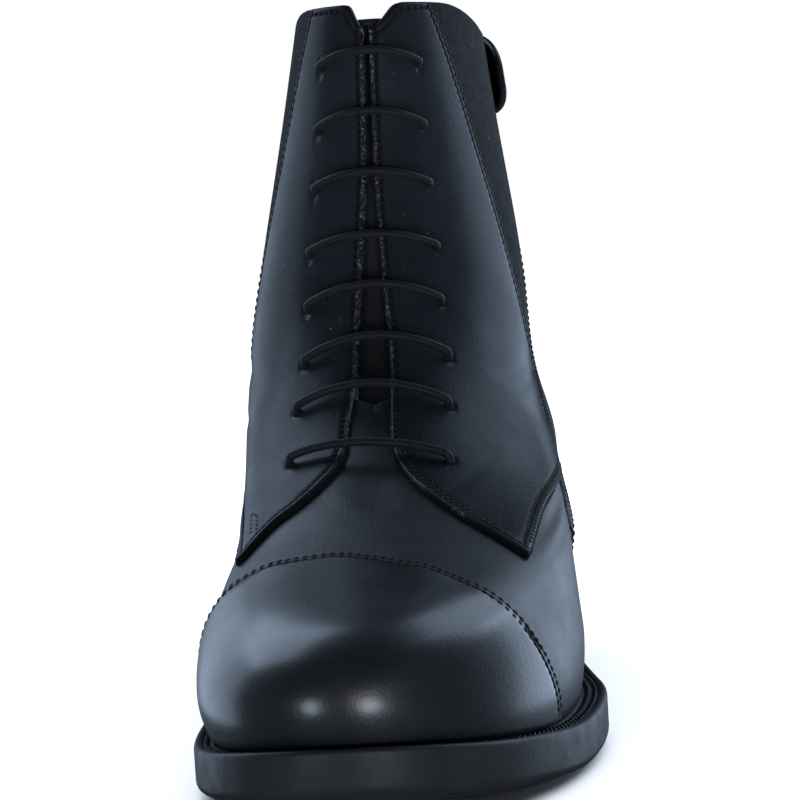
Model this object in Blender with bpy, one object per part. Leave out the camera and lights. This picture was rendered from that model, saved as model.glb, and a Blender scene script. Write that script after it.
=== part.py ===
"""Jodhpur boot for the left foot, toe towards -Y, lateral side towards +X, standing on Z = 0. Metres."""
import math

import bmesh
import bpy
import numpy as np

for old in list(bpy.data.objects):
    bpy.data.objects.remove(old, do_unlink=True)

# Sizes of the whole boot
SOLE_LENGTH = 0.276
MIDDLE_X = 0.003567
MIDDLE_L = 0.138154
WALL = 0.0020
JOINT = 0.0003
SEWN = 0.0007
SEAT = 0.0005
LEATHER = 0.0013
ELASTIC = 0.0007

# Sections of the last from the feather line up to the collar. Each lies in a plane from a front point to a back point.
# l runs back from the toe tip of the sole, w are half widths, nose and tail are the rounded shares of the section.
SECTIONS = [
    # front_l, front_z, back_l, back_z, w_ball, w_waist, w_heel, nose, tail, bend, front_x, back_x
    (0.0072, 0.0195, 0.2690, 0.0375, 0.0423, 0.0321, 0.0301, 0.30, 0.16, 1.00, 0.0007, 0.0005),
    (0.0053, 0.0270, 0.2715, 0.0470, 0.0444, 0.0348, 0.0323, 0.30, 0.17, 0.90, 0.0001, -0.0004),
    (0.0078, 0.0365, 0.2730, 0.0580, 0.0442, 0.0360, 0.0331, 0.31, 0.18, 0.72, 0.0003, -0.0008),
    (0.0182, 0.0447, 0.2730, 0.0669, 0.0425, 0.0364, 0.0332, 0.33, 0.19, 0.55, 0.0014, 0.0003),
    (0.0390, 0.0508, 0.2720, 0.0747, 0.0404, 0.0368, 0.0329, 0.35, 0.20, 0.40, 0.0021, 0.0019),
    (0.0685, 0.0571, 0.2705, 0.0835, 0.0388, 0.0362, 0.0323, 0.38, 0.23, 0.25, 0.0006, 0.0013),
    (0.1005, 0.0661, 0.2685, 0.0933, 0.0376, 0.0353, 0.0314, 0.40, 0.26, 0.12, -0.0018, 0.0004),
    (0.1258, 0.0781, 0.2665, 0.1041, 0.0369, 0.0347, 0.0309, 0.42, 0.30, 0.05, -0.0030, 0.0003),
    (0.1442, 0.0958, 0.2650, 0.1168, 0.0361, 0.0339, 0.0300, 0.44, 0.35, 0.00, -0.0033, 0.0010),
    (0.1554, 0.1188, 0.2640, 0.1335, 0.0334, 0.0313, 0.0281, 0.46, 0.40, 0.00, -0.0032, 0.0020),
    (0.1615, 0.1482, 0.2640, 0.1560, 0.0287, 0.0276, 0.0254, 0.48, 0.45, 0.00, -0.0024, 0.0026),
    (0.1645, 0.1844, 0.2655, 0.1815, 0.0236, 0.0232, 0.0220, 0.50, 0.50, 0.00, -0.0015, 0.0044),
]
STATION_BALL = 0.30
STATION_WAIST = 0.58
STATION_HEEL = 0.85
LAST = len(SECTIONS) - 1

# Height of the welt's top along the boot, with toe spring, flat tread, shank and heel seat
SOLE_TOP = [
    # l, z
    (0.000, 0.0215),
    (0.030, 0.0158),
    (0.065, 0.0125),
    (0.112, 0.0125),
    (0.160, 0.0225),
    (0.205, 0.0355),
    (0.276, 0.0390),
]

# Swing of the last's middle line, medial at the toe and lateral at the waist
SWING = [
    # l, x
    (0.000, -0.0065),
    (0.040, -0.0012),
    (0.085, 0.0030),
    (0.150, 0.0045),
    (0.225, 0.0005),
    (0.276, 0.0000),
]

# Sole
WELT_THICK = 0.0032
SOLE_THICK = 0.0078
TREAD_THICK = 0.0015
TREAD_INSET = 0.0055
TREAD_END = 0.128
TREAD_FADE = 0.020
EDGE_ROUND = 0.0014
WELT_GROW_TOE = 0.0063
WELT_GROW_HEEL = 0.0036
WELT_INSIDE = 0.0065
INSOLE_INSET = 0.0027
INSOLE_THICK = 0.0026
HEEL_BREAST = 0.207
HEEL_LIFT = 0.0062
HEEL_INSET = 0.0010
HEEL_TAPER = 0.0022

# Front slit: half opening at heights along the front line, closed below the throat
THROAT_T = 0.662
SLIT = [
    # t, half_gap
    (0.667, 0.0042),
    (0.715, 0.0042),
    (0.780, 0.0031),
    (0.835, 0.0021),
    (0.890, 0.0011),
    (1.000, 0.0006),
]

# Collar edge: notch at the slit, rounded lobes, and a drop towards the back
NOTCH_DEPTH = 0.0160
NOTCH_TURN_LATERAL = 24
NOTCH_TURN_MEDIAL = 14
DROP_DEPTH = 0.0200
DROP_TURN_START = 42
DROP_TURN_END = 108
COLLAR_START = 0.04

# Toe cap seam across the vamp, further forward on the lateral side
CAP_LOW_T = 0.014
CAP_SEAM = [
    # turn, t
    (-60.0, 0.020),
    (-59.5, 0.080),
    (-58.2, 0.150),
    (-55.0, 0.232),
    (-48.0, 0.318),
    (-31.0, 0.402),
    (-9.0, 0.435),
    (10.7, 0.412),
    (28.2, 0.334),
    (38.2, 0.256),
    (46.6, 0.155),
    (50.3, 0.078),
    (51.6, 0.020),
]

# Lower edge of each front quarter from the slit to the side seam, and its side seam up to the collar
CORNER_U = 0.66
QUARTER_LOW = {
    # u, t, turn
    "lateral": [
        (0.00, 0.600, 5.5),
        (0.10, 0.564, 8.6),
        (0.25, 0.520, 16.5),
        (0.40, 0.470, 26.6),
        (0.54, 0.420, 35.6),
        (CORNER_U, 0.356, 44.7),
        (0.74, 0.405, 52.5),
        (0.84, 0.425, 63.0),
        (1.00, 0.402, 84.0),
    ],
    "medial": [
        (0.00, 0.602, 9.4),
        (0.10, 0.575, 12.0),
        (0.25, 0.535, 20.0),
        (0.40, 0.490, 30.8),
        (0.54, 0.435, 42.5),
        (CORNER_U, 0.336, 56.0),
        (0.74, 0.380, 63.0),
        (0.84, 0.408, 71.0),
        (1.00, 0.402, 84.0),
    ],
}
SIDE_SEAM = [
    # v, t, turn
    (0.00, 0.402, 84.0),
    (0.12, 0.470, 92.0),
    (0.30, 0.570, 85.0),
    (0.46, 0.665, 74.5),
    (0.55, 0.735, 69.0),
    (0.70, 0.850, 61.5),
    (0.83, 0.934, 52.5),
    (1.00, 0.998, 40.0),
]
# Front edge of the back quarter, from the feather line past the foot of the gusset to the collar
BACK_EDGE = [
    # v, t, turn
    (0.00, 0.014, 89.0),
    (0.30, 0.250, 81.0),
    (0.42, 0.330, 79.0),
    (0.52, 0.400, 88.0),
    (0.61, 0.480, 96.0),
    (0.80, 0.740, 110.0),
    (1.00, 0.980, 118.0),
]
SEAM_STEP = 1.6
GUSSET_FRONT_V = 0.16
GUSSET_BACK_V = 0.625

# Laces: eight bars, each with its ends at the punched holes and its middle bowed upwards
LACE_RADIUS = 0.0011
LACE_BOW = 0.0007
LACES = [
    # end_t, middle_t, turn, swing
    (0.555, 0.594, 29.6, -3.6),
    (0.635, 0.674, 29.2, -1.6),
    (0.696, 0.730, 28.2, 0.4),
    (0.760, 0.786, 27.2, 0.0),
    (0.815, 0.834, 27.5, 0.0),
    (0.871, 0.886, 27.0, 0.0),
    (0.916, 0.930, 27.0, 0.0),
    (0.959, 0.970, 27.4, 0.0),
]
LACE_POINTS = 9
LACE_SIDES = 6

# Tongue and back tab
TONGUE_THICK = 0.0018
TONGUE_GAP = 0.0006
TONGUE_LOW_T = 0.600
TONGUE_TOP_T = 0.991
TONGUE_TURN_LOW = 20.0
TONGUE_TURN_TOP = 32.0
TAB_THICK = 0.0021
TAB_FREE_TURN = 105.0
TAB_SEWN_TURN = 206.0
TAB_MIDDLE_T = 0.9400
TAB_HALF_T = 0.0400
TAB_STAND = 0.0012

COLOURS = {
    # name: base colour, roughness
    "leather": ((0.012, 0.013, 0.016), 0.42),
    "cap_leather": ((0.011, 0.012, 0.015), 0.22),
    "elastic": ((0.018, 0.020, 0.022), 0.80),
    "rubber": ((0.020, 0.022, 0.025), 0.55),
    "cord": ((0.010, 0.011, 0.012), 0.85),
    "lining": ((0.030, 0.030, 0.032), 0.85),
}

boot = bpy.data.collections.new("jodhpur_boot")
cutters = bpy.data.collections.new("cutters")
bpy.context.scene.collection.children.link(boot)
bpy.context.scene.collection.children.link(cutters)


def spline(table):
    """Smooth curve through the rows of a table, by its first column."""
    rows = np.asarray(table, float)
    knot = rows[:, 0]
    value = rows[:, 1:]
    count = len(knot)
    step = np.diff(knot)
    matrix = np.eye(count)
    right = np.zeros_like(value)
    for i in range(1, count - 1):
        matrix[i, i - 1:i + 2] = step[i - 1], 2 * (step[i - 1] + step[i]), step[i]
        right[i] = 6 * ((value[i + 1] - value[i]) / step[i] - (value[i] - value[i - 1]) / step[i - 1])
    bow = np.linalg.solve(matrix, right)

    def at(place):
        place = np.asarray(place, float)
        k = np.clip(np.searchsorted(knot, place) - 1, 0, count - 2)
        d = (place - knot[k])[..., None]
        h = step[k][..., None]
        slope = (value[k + 1] - value[k]) / h - h * (2 * bow[k] + bow[k + 1]) / 6
        return value[k] + slope * d + bow[k] * d ** 2 / 2 + (bow[k + 1] - bow[k]) * d ** 3 / (6 * h)

    return at


def level_curve(table):
    """Curve through the rows of a table that never swings past them."""
    rows = np.asarray(table, float)
    knot = rows[:, 0]
    value = rows[:, 1]
    step = np.diff(knot)
    rise = np.diff(value) / step
    slope = np.zeros(len(knot))
    slope[0] = rise[0]
    slope[-1] = rise[-1]
    for i in range(1, len(knot) - 1):
        if rise[i - 1] * rise[i] > 0:
            slope[i] = 2 * rise[i - 1] * rise[i] / (rise[i - 1] + rise[i])

    def at(place):
        place = np.asarray(place, float)
        k = np.clip(np.searchsorted(knot, place) - 1, 0, len(knot) - 2)
        h = step[k]
        u = (place - knot[k]) / h
        start = (1 + 2 * u) * (1 - u) ** 2 * value[k] + u * (1 - u) ** 2 * h * slope[k]
        end = u * u * (3 - 2 * u) * value[k + 1] + u * u * (u - 1) * h * slope[k + 1]
        return start + end

    return at


def ease(u):
    """Soft step from 0 to 1."""
    u = np.clip(u, 0, 1)
    return u ** 3 * (u * (6 * u - 15) + 10)


section_at = spline([(i / LAST,) + row for i, row in enumerate(SECTIONS)])
sole_top = level_curve(SOLE_TOP)
swing_curve = spline(SWING)
slit_curve = level_curve(SLIT)


def upper_skin(t, turn):
    """Outer skin of the upper: t from feather line to collar, turn from the front, positive on the lateral side."""
    t, turn = np.broadcast_arrays(np.asarray(t, float), np.asarray(turn, float))
    columns = np.moveaxis(section_at(t), -1, 0)
    front_l, front_z, back_l, back_z, w_ball, w_waist, w_heel, nose, tail, bend, front_x, back_x = columns
    s = (1 - np.cos(turn)) / 2
    half = w_ball + (w_waist - w_ball) * ease((s - STATION_BALL) / (STATION_WAIST - STATION_BALL))
    half = half + (w_heel - w_waist) * ease((s - STATION_WAIST) / (STATION_HEEL - STATION_WAIST))
    half = half * np.sqrt(1 - np.clip(1 - s / nose, 0, 1) ** 2)
    half = half * np.sqrt(1 - np.clip((s - 1 + tail) / tail, 0, 1) ** 2)
    l = front_l + (back_l - front_l) * s
    foot = SECTIONS[0]
    chord = foot[1] + (foot[3] - foot[1]) * (l - foot[0]) / (foot[2] - foot[0])
    z = front_z + (back_z - front_z) * s + bend * (sole_top(l) - chord) + SEAT
    x = np.sign(np.sin(turn)) * half + swing_curve(l)[..., 0] * np.clip(1.2 * bend, 0, 1)
    x = x + front_x + (back_x - front_x) * s
    return np.stack([x - MIDDLE_X, l - MIDDLE_L, z], -1)


def shell(t, turn, depth):
    """The upper's skin moved outwards by depth."""
    small = 1e-3
    across = upper_skin(t, turn + small) - upper_skin(t, turn - small)
    along = upper_skin(t + small, turn) - upper_skin(t - small, turn)
    normal = np.cross(across, along)
    normal /= np.linalg.norm(normal, axis=-1, keepdims=True)
    return upper_skin(t, turn) + normal * np.asarray(depth)[..., None]


def slit_turn(t):
    """Turn of the slit's edge at a height."""
    columns = section_at(t)
    gap = np.where(np.asarray(t) > THROAT_T, slit_curve(np.clip(t, SLIT[0][0], 1)), 0)
    return gap * np.sqrt(2 * columns[..., 7]) / columns[..., 4]


def collar_t(turn):
    """Top edge of the upper at a turn."""
    signed = np.degrees((np.asarray(turn) + math.pi) % (2 * math.pi) - math.pi)
    side = np.abs(signed)
    notch = NOTCH_DEPTH * (1 - ease(side / np.where(signed > 0, NOTCH_TURN_LATERAL, NOTCH_TURN_MEDIAL)))
    drop = DROP_DEPTH * ease((side - DROP_TURN_START) / (DROP_TURN_END - DROP_TURN_START))
    return 1 - notch - drop


def paint(name, slot):
    """Material of one piece."""
    colour, rough = COLOURS[slot]
    material = bpy.data.materials.new(name)
    material.use_nodes = True
    shader = material.node_tree.nodes["Principled BSDF"]
    shader.inputs["Base Color"].default_value = colour + (1.0,)
    shader.inputs["Roughness"].default_value = rough
    return material


def add_piece(name, slot, points, faces):
    """One closed body as a named object."""
    mesh = bpy.data.meshes.new(name)
    mesh.from_pydata([tuple(p) for p in points], [], faces)
    body = bmesh.new()
    body.from_mesh(mesh)
    bmesh.ops.recalc_face_normals(body, faces=body.faces)
    body.to_mesh(mesh)
    body.free()
    piece = bpy.data.objects.new(name, mesh)
    mesh.materials.append(paint(name, slot))
    boot.objects.link(piece)
    return piece


def sheet_piece(name, slot, outer, inner, joined_rows=0):
    """Closed body between two grids of points, its first and last columns shared in the first joined rows."""
    rows, columns = outer.shape[:2]
    points = np.concatenate([outer.reshape(-1, 3), inner.reshape(-1, 3)])
    half = rows * columns

    def spot(side, i, j):
        if j == columns - 1 and i < joined_rows:
            j = 0
        return side * half + i * columns + j

    faces = []
    for i in range(rows - 1):
        for j in range(columns - 1):
            for side in (0, 1):
                faces.append([spot(side, i, j), spot(side, i, j + 1), spot(side, i + 1, j + 1), spot(side, i + 1, j)])
    edges = [((0, j), (0, j + 1)) for j in range(columns - 1)]
    edges += [((rows - 1, j + 1), (rows - 1, j)) for j in range(columns - 1)]
    for i in range(max(joined_rows - 1, 0), rows - 1):
        edges.append(((i + 1, 0), (i, 0)))
        edges.append(((i, columns - 1), (i + 1, columns - 1)))
    for a, b in edges:
        faces.append([spot(0, *a), spot(0, *b), spot(1, *b), spot(1, *a)])
    used = sorted({p for face in faces for p in face})
    renumber = {p: k for k, p in enumerate(used)}
    faces = [[renumber[p] for p in face] for face in faces]
    return add_piece(name, slot, points[used], faces)


def ring_piece(name, slot, rings):
    """Closed body lofted through rings of points, capped straight across from side to side."""
    count = len(rings[0])
    points = np.concatenate(rings)
    faces = []
    for level in range(len(rings) - 1):
        for j in range(count):
            k = (j + 1) % count
            faces.append([level * count + j, level * count + k, (level + 1) * count + k, (level + 1) * count + j])
    for start in (0, (len(rings) - 1) * count):
        for j in range(count // 2 - 1):
            faces.append([start + j, start + j + 1, start + count - 2 - j, start + count - 1 - j])
    return add_piece(name, slot, points, faces)


def four_sided(low, high, left, right, u, v):
    """Points between four edges given as (t, turn), each edge a function of its own share."""
    u, v = np.meshgrid(u, v, indexing="xy")
    u = u[..., None]
    v = v[..., None]
    one = np.ones(1)
    corners = (1 - u) * (1 - v) * low(0 * one) + u * (1 - v) * low(one)
    corners = corners + (1 - u) * v * high(0 * one) + u * v * high(one)
    return (1 - v) * low(u[..., 0]) + v * high(u[..., 0]) + (1 - u) * left(v[..., 0]) + u * right(v[..., 0]) - corners


def degrees_curve(table):
    """Edge through a table of share, t and turn in degrees."""
    return spline([(share, t, math.radians(turn)) for share, t, turn in table])


def sewn_piece(name, slot, spots, inner, outer, mirror=1):
    """Sheet over the upper, between two depths of its skin."""
    t = spots[..., 0]
    turn = spots[..., 1] * mirror
    return sheet_piece(name, slot, shell(t, turn, outer + 0 * t), shell(t, turn, inner + 0 * t))


# Upper: vamp and inner wall as one hollow body, open at the collar, the slit and underneath
UPPER_COLUMNS = 47
SIDE_BIAS = -0.016
low_rows = np.concatenate([np.linspace(0, 0.42, 10), np.linspace(0.47, THROAT_T, 5)])
high_rows = np.linspace(SLIT[0][0], 1, 8)
share = np.linspace(0, 1, UPPER_COLUMNS)
share = share - SIDE_BIAS * np.sin(4 * math.pi * share)
grid_t = []
grid_turn = []
for t_row in np.concatenate([low_rows, high_rows]):
    edge = float(slit_turn(t_row))
    turn_row = edge + (2 * math.pi - 2 * edge) * share
    climb = np.clip((t_row - THROAT_T) / (1 - THROAT_T), 0, 1)
    grid_turn.append(turn_row)
    grid_t.append(t_row - climb * (1 - collar_t(turn_row)))
grid_t = np.array(grid_t)
grid_turn = np.array(grid_turn)
upper_outer = shell(grid_t, grid_turn, 0 * grid_t)
upper_inner = shell(grid_t, grid_turn, 0 * grid_t - WALL)
upper_inner[0, :, 2] = upper_outer[0, :, 2]
sheet_piece("upper", "leather", upper_outer, upper_inner, joined_rows=len(low_rows))


# Toe cap over the front of the vamp
cap_across = (1 + np.sin(np.linspace(-1, 1, 21) * math.pi / 2)) / 2
cap_turn = CAP_SEAM[0][0] + (CAP_SEAM[-1][0] - CAP_SEAM[0][0]) * cap_across
cap_rise = np.linspace(0, 1, 12)[:, None]
cap_t = CAP_LOW_T + cap_rise * (level_curve(CAP_SEAM)(cap_turn) - CAP_LOW_T)
cap_grid = np.stack([cap_t, np.radians(cap_turn) + 0 * cap_t], -1)
sewn_piece("toe_cap", "cap_leather", cap_grid, SEWN, SEWN + LEATHER)

# Front quarters with their facings, elastic gussets, and one back quarter round the heel
side_seam = degrees_curve(SIDE_SEAM)
back_edge = degrees_curve(BACK_EDGE)
seam_top = SIDE_SEAM[-1][2]


def corner_curve(table):
    """Edge with a corner, smooth on both sides of it."""
    before = degrees_curve([row for row in table if row[0] <= CORNER_U])
    after = degrees_curve([row for row in table if row[0] >= CORNER_U])

    def at(u):
        u = np.asarray(u, float)
        return np.where((u <= CORNER_U)[..., None], before(u), after(u))
    return at


quarter_low = {side: corner_curve(table) for side, table in QUARTER_LOW.items()}


def slit_edge(side):
    """Front edge of a quarter, along the slit."""
    foot_t, foot_turn = quarter_low[side](np.zeros(1))[0]
    top = collar_t(COLLAR_START)
    wide = slit_turn(np.array(SLIT[0][0]))

    def at(v):
        t = foot_t + (top - foot_t) * np.asarray(v, float)
        mouth = 1 - ease((t - foot_t) / (SLIT[1][0] - foot_t))
        turn = np.where(t > THROAT_T, slit_turn(t), wide)
        return np.stack([t, turn + mouth * (foot_turn - wide)], -1)
    return at


def quarter_top(mirror):
    """Collar edge of a quarter."""
    start = float(slit_turn(collar_t(COLLAR_START)))

    def at(u):
        turn = start + (math.radians(seam_top) - start) * np.asarray(u, float)
        return np.stack([collar_t(mirror * turn), turn], -1)
    return at


def gusset_front(v):
    """Front edge of a gusset, just behind the side seam."""
    place = side_seam(GUSSET_FRONT_V + (1 - GUSSET_FRONT_V) * np.asarray(v, float))
    return place + np.array([0, math.radians(SEAM_STEP)])


def gusset_back(v):
    """Back edge of a gusset, just before the back quarter."""
    place = back_edge(GUSSET_BACK_V + (1 - GUSSET_BACK_V) * np.asarray(v, float))
    return place - np.array([0, math.radians(SEAM_STEP)])


def between(first, last, follow_collar):
    """Straight edge in t and turn, or along the collar."""
    def at(u):
        u = np.asarray(u, float)[..., None]
        place = first + (last - first) * u
        if follow_collar:
            place = np.stack([collar_t(place[..., 1]), place[..., 1]], -1)
        return place
    return at


def collar_end(edge):
    """An edge whose last point sits on the collar."""
    top = edge(np.ones(1))[0]
    lift = collar_t(top[1]) - top[0]

    def at(v):
        v = np.asarray(v, float)
        return edge(v) + np.stack([lift * v, 0 * v], -1)
    return at


quarter_u = np.concatenate([np.linspace(0, CORNER_U, 9), np.linspace(CORNER_U, 1, 8)[1:]])
front = collar_end(gusset_front)
rear = collar_end(gusset_back)
foot_edge = between(front(np.zeros(1))[0], rear(np.zeros(1))[0], False)
top_edge = between(front(np.ones(1))[0], rear(np.ones(1))[0], True)
gusset_spots = four_sided(foot_edge, top_edge, front, rear, np.linspace(0, 1, 6), np.linspace(0, 1, 10))
for side, mirror in (("lateral", 1), ("medial", -1)):
    quarter_edges = (quarter_low[side], quarter_top(mirror), slit_edge(side), collar_end(side_seam))
    quarter_spots = four_sided(*quarter_edges, quarter_u, np.linspace(0, 1, 14))
    sewn_piece("front_quarter_" + side, "leather", quarter_spots, SEWN, SEWN + LEATHER, mirror)
    sewn_piece("gusset_" + side, "elastic", gusset_spots, SEWN, SEWN + ELASTIC, mirror)


def back_edge_far(v):
    """Front edge of the back quarter on the medial side, counted on round the heel."""
    place = collar_end(back_edge)(v)
    return np.stack([place[..., 0], 2 * math.pi - place[..., 1]], -1)


back_low = between(back_edge(np.zeros(1))[0], back_edge_far(np.zeros(1))[0], False)
back_top = between(collar_end(back_edge)(np.ones(1))[0], back_edge_far(np.ones(1))[0], True)
back_rise = np.concatenate([np.linspace(0, 0.36, 6), np.linspace(0.42, 0.82, 8), np.linspace(0.91, 1, 2)])
back_spots = four_sided(back_low, back_top, collar_end(back_edge), back_edge_far, np.linspace(0, 1, 29), back_rise)
sewn_piece("back_quarter", "leather", back_spots, SEWN, SEWN + LEATHER)

# Back tab: sewn beside the back line, its round end standing off on the lateral side
tab_u = np.linspace(0, 1, 12)
tab_turn = np.radians(TAB_FREE_TURN + (TAB_SEWN_TURN - TAB_FREE_TURN) * tab_u)
round_end = np.sqrt(1 - np.clip(1 - (tab_u + 0.012) / 0.30, 0, 1) ** 2)
tab_v = np.linspace(-1, 1, 7)[:, None]
tab_t = TAB_MIDDLE_T + TAB_HALF_T * tab_v * round_end
tab_turns = np.broadcast_to(tab_turn, tab_t.shape)
tab_base = 2 * SEWN + LEATHER + TAB_STAND * (1 - tab_u) ** 2 + 0 * tab_t
sheet_piece("back_tab", "leather", shell(tab_t, tab_turns, tab_base + TAB_THICK), shell(tab_t, tab_turns, tab_base))

# Tongue behind the slit
tongue_v = np.linspace(0, 1, 11)[:, None]
tongue_u = np.linspace(-1, 1, 7)
tongue_turn = np.radians(TONGUE_TURN_LOW + (TONGUE_TURN_TOP - TONGUE_TURN_LOW) * tongue_v) * tongue_u
tongue_t = TONGUE_LOW_T + (TONGUE_TOP_T - 0.006 * tongue_u ** 4 - TONGUE_LOW_T) * tongue_v
tongue_depth = -WALL - TONGUE_GAP + 0 * tongue_t
tongue_front = shell(tongue_t, tongue_turn, tongue_depth)
sheet_piece("tongue", "lining", tongue_front, shell(tongue_t, tongue_turn, tongue_depth - TONGUE_THICK))

# Lace bars over the facings
for number, (end_t, middle_t, turn, swing) in enumerate(LACES, start=1):
    along = np.linspace(-1, 1, LACE_POINTS)
    bar_t = middle_t + (end_t - middle_t) * along ** 2
    bar_turn = np.radians(turn * along + swing)
    height = 2 * SEWN + LEATHER + LACE_RADIUS + LACE_BOW * (1 - along ** 4)
    path = shell(bar_t, bar_turn, height)
    tangent = np.gradient(path, axis=0)
    tangent /= np.linalg.norm(tangent, axis=1, keepdims=True)
    out = shell(bar_t, bar_turn, height + 1e-3) - path
    out /= np.linalg.norm(out, axis=1, keepdims=True)
    aside = np.cross(tangent, out)
    rings = []
    for k in range(LACE_POINTS):
        corner = (np.arange(LACE_SIDES) + 0.5) * 2 * math.pi / LACE_SIDES
        rings.append(path[k] + LACE_RADIUS * (np.cos(corner)[:, None] * out[k] + np.sin(corner)[:, None] * aside[k]))
    ring_piece("lace_bar_%d" % number, "cord", rings)


# Sole pieces
def edge_ring(turn, grow, drop):
    """Ring round the feather line, grown outwards and set below the welt's top."""
    small = 1e-3
    place = upper_skin(0 * turn, turn)
    along = upper_skin(0 * turn, turn + small) - upper_skin(0 * turn, turn - small)
    out = np.stack([along[:, 1], -along[:, 0]], -1)
    out /= np.linalg.norm(out, axis=1, keepdims=True)
    plan = place[:, :2] + out * np.asarray(grow)[..., None]
    l = plan[:, 1] + MIDDLE_L
    return np.column_stack([plan, sole_top(np.clip(l, 0, SOLE_LENGTH)) - drop(l)])


def welt_grow(turn):
    """How far the welt stands out past the feather line."""
    back_share = (1 - np.cos(turn)) / 2
    return WELT_GROW_TOE + (WELT_GROW_HEEL - WELT_GROW_TOE) * ease((back_share - 0.35) / 0.35)


def level(depth):
    """Constant depth below the welt's top."""
    return lambda l: depth + 0 * l


def tread_level(l):
    """Underside of the tread, which fades out before the shank."""
    return WELT_THICK + SOLE_THICK + TREAD_THICK * (1 - ease((l - TREAD_END) / TREAD_FADE))


SOLE_POINTS = 56
sole_turn = -math.pi + (np.arange(SOLE_POINTS) + 0.5) * 2 * math.pi / SOLE_POINTS
grow = welt_grow(sole_turn)
welt_outer = [
    edge_ring(sole_turn, grow - EDGE_ROUND, level(0)),
    edge_ring(sole_turn, grow, level(EDGE_ROUND * 0.7)),
    edge_ring(sole_turn, grow, level(WELT_THICK)),
]
welt_inner = [edge_ring(sole_turn, -WELT_INSIDE + 0 * grow, level(depth)) for depth in (WELT_THICK, 0)]
welt_rings = welt_outer + welt_inner
welt_faces = []
for ring in range(5):
    following = (ring + 1) % 5
    for j in range(SOLE_POINTS):
        k = (j + 1) % SOLE_POINTS
        corners = ((ring, j), (ring, k), (following, k), (following, j))
        welt_faces.append([r * SOLE_POINTS + c for r, c in corners])
add_piece("welt", "rubber", np.concatenate(welt_rings), welt_faces)

ring_piece("outsole", "rubber", [
    edge_ring(sole_turn, grow, level(WELT_THICK + JOINT)),
    edge_ring(sole_turn, grow, level(WELT_THICK + SOLE_THICK - EDGE_ROUND)),
    edge_ring(sole_turn, grow - EDGE_ROUND, level(WELT_THICK + SOLE_THICK)),
    edge_ring(sole_turn, grow - TREAD_INSET, level(WELT_THICK + SOLE_THICK)),
    edge_ring(sole_turn, grow - TREAD_INSET - 0.0005, tread_level),
])

ring_piece("insole", "lining", [
    edge_ring(sole_turn, -INSOLE_INSET + 0 * grow, level(-JOINT - INSOLE_THICK)),
    edge_ring(sole_turn, -INSOLE_INSET + 0 * grow, level(-JOINT)),
])

# Heel block and its lift under the back of the sole
breast_share = (HEEL_BREAST - SECTIONS[0][0]) / (SECTIONS[0][2] - SECTIONS[0][0])
breast_turn = math.acos(1 - 2 * breast_share)
heel_turn = np.linspace(breast_turn, 2 * math.pi - breast_turn, 30)
heel_grow = welt_grow(heel_turn) - HEEL_INSET


def flat_ring(grow_now, z):
    """Ring of the heel at one height."""
    ring = edge_ring(heel_turn, grow_now, level(0))
    ring[:, 2] = z
    return ring


heel_top = edge_ring(heel_turn, heel_grow, level(WELT_THICK + SOLE_THICK + JOINT))
ring_piece("heel", "rubber", [heel_top, flat_ring(heel_grow - HEEL_TAPER, HEEL_LIFT + JOINT)])
ring_piece("heel_lift", "rubber", [flat_ring(heel_grow - HEEL_TAPER, HEEL_LIFT), flat_ring(heel_grow - HEEL_TAPER, 0)])
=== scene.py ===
"""Looks of the jodhpur boot: leather, elastic, cord and rubber, with camera and studio light."""
import math

import bmesh
import bpy
import numpy as np
from mathutils import Matrix, Vector, kdtree


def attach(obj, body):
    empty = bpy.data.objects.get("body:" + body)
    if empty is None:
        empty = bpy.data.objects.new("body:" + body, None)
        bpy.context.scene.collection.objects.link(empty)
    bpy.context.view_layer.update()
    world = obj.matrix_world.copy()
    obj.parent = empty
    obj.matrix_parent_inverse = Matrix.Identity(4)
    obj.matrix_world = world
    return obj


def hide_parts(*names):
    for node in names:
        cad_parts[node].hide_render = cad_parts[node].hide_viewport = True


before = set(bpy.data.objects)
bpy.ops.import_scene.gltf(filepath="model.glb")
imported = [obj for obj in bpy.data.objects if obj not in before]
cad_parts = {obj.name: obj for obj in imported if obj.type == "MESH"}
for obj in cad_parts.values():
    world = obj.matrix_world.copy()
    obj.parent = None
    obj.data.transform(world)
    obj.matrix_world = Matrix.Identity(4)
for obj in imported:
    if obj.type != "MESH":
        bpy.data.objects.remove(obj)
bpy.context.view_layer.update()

# Sizes of the boot, in metres
SOLE_LENGTH = 0.276
MIDDLE_X = 0.003567
MIDDLE_L = 0.138154
WALL = 0.0020
SEWN = 0.00045
SEAT = 0.0005
FOOT_GAP = 0.0001
LEATHER = 0.0013
ELASTIC = 0.0007
UNDER = 0.0002
TOP = SEWN + LEATHER

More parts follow.
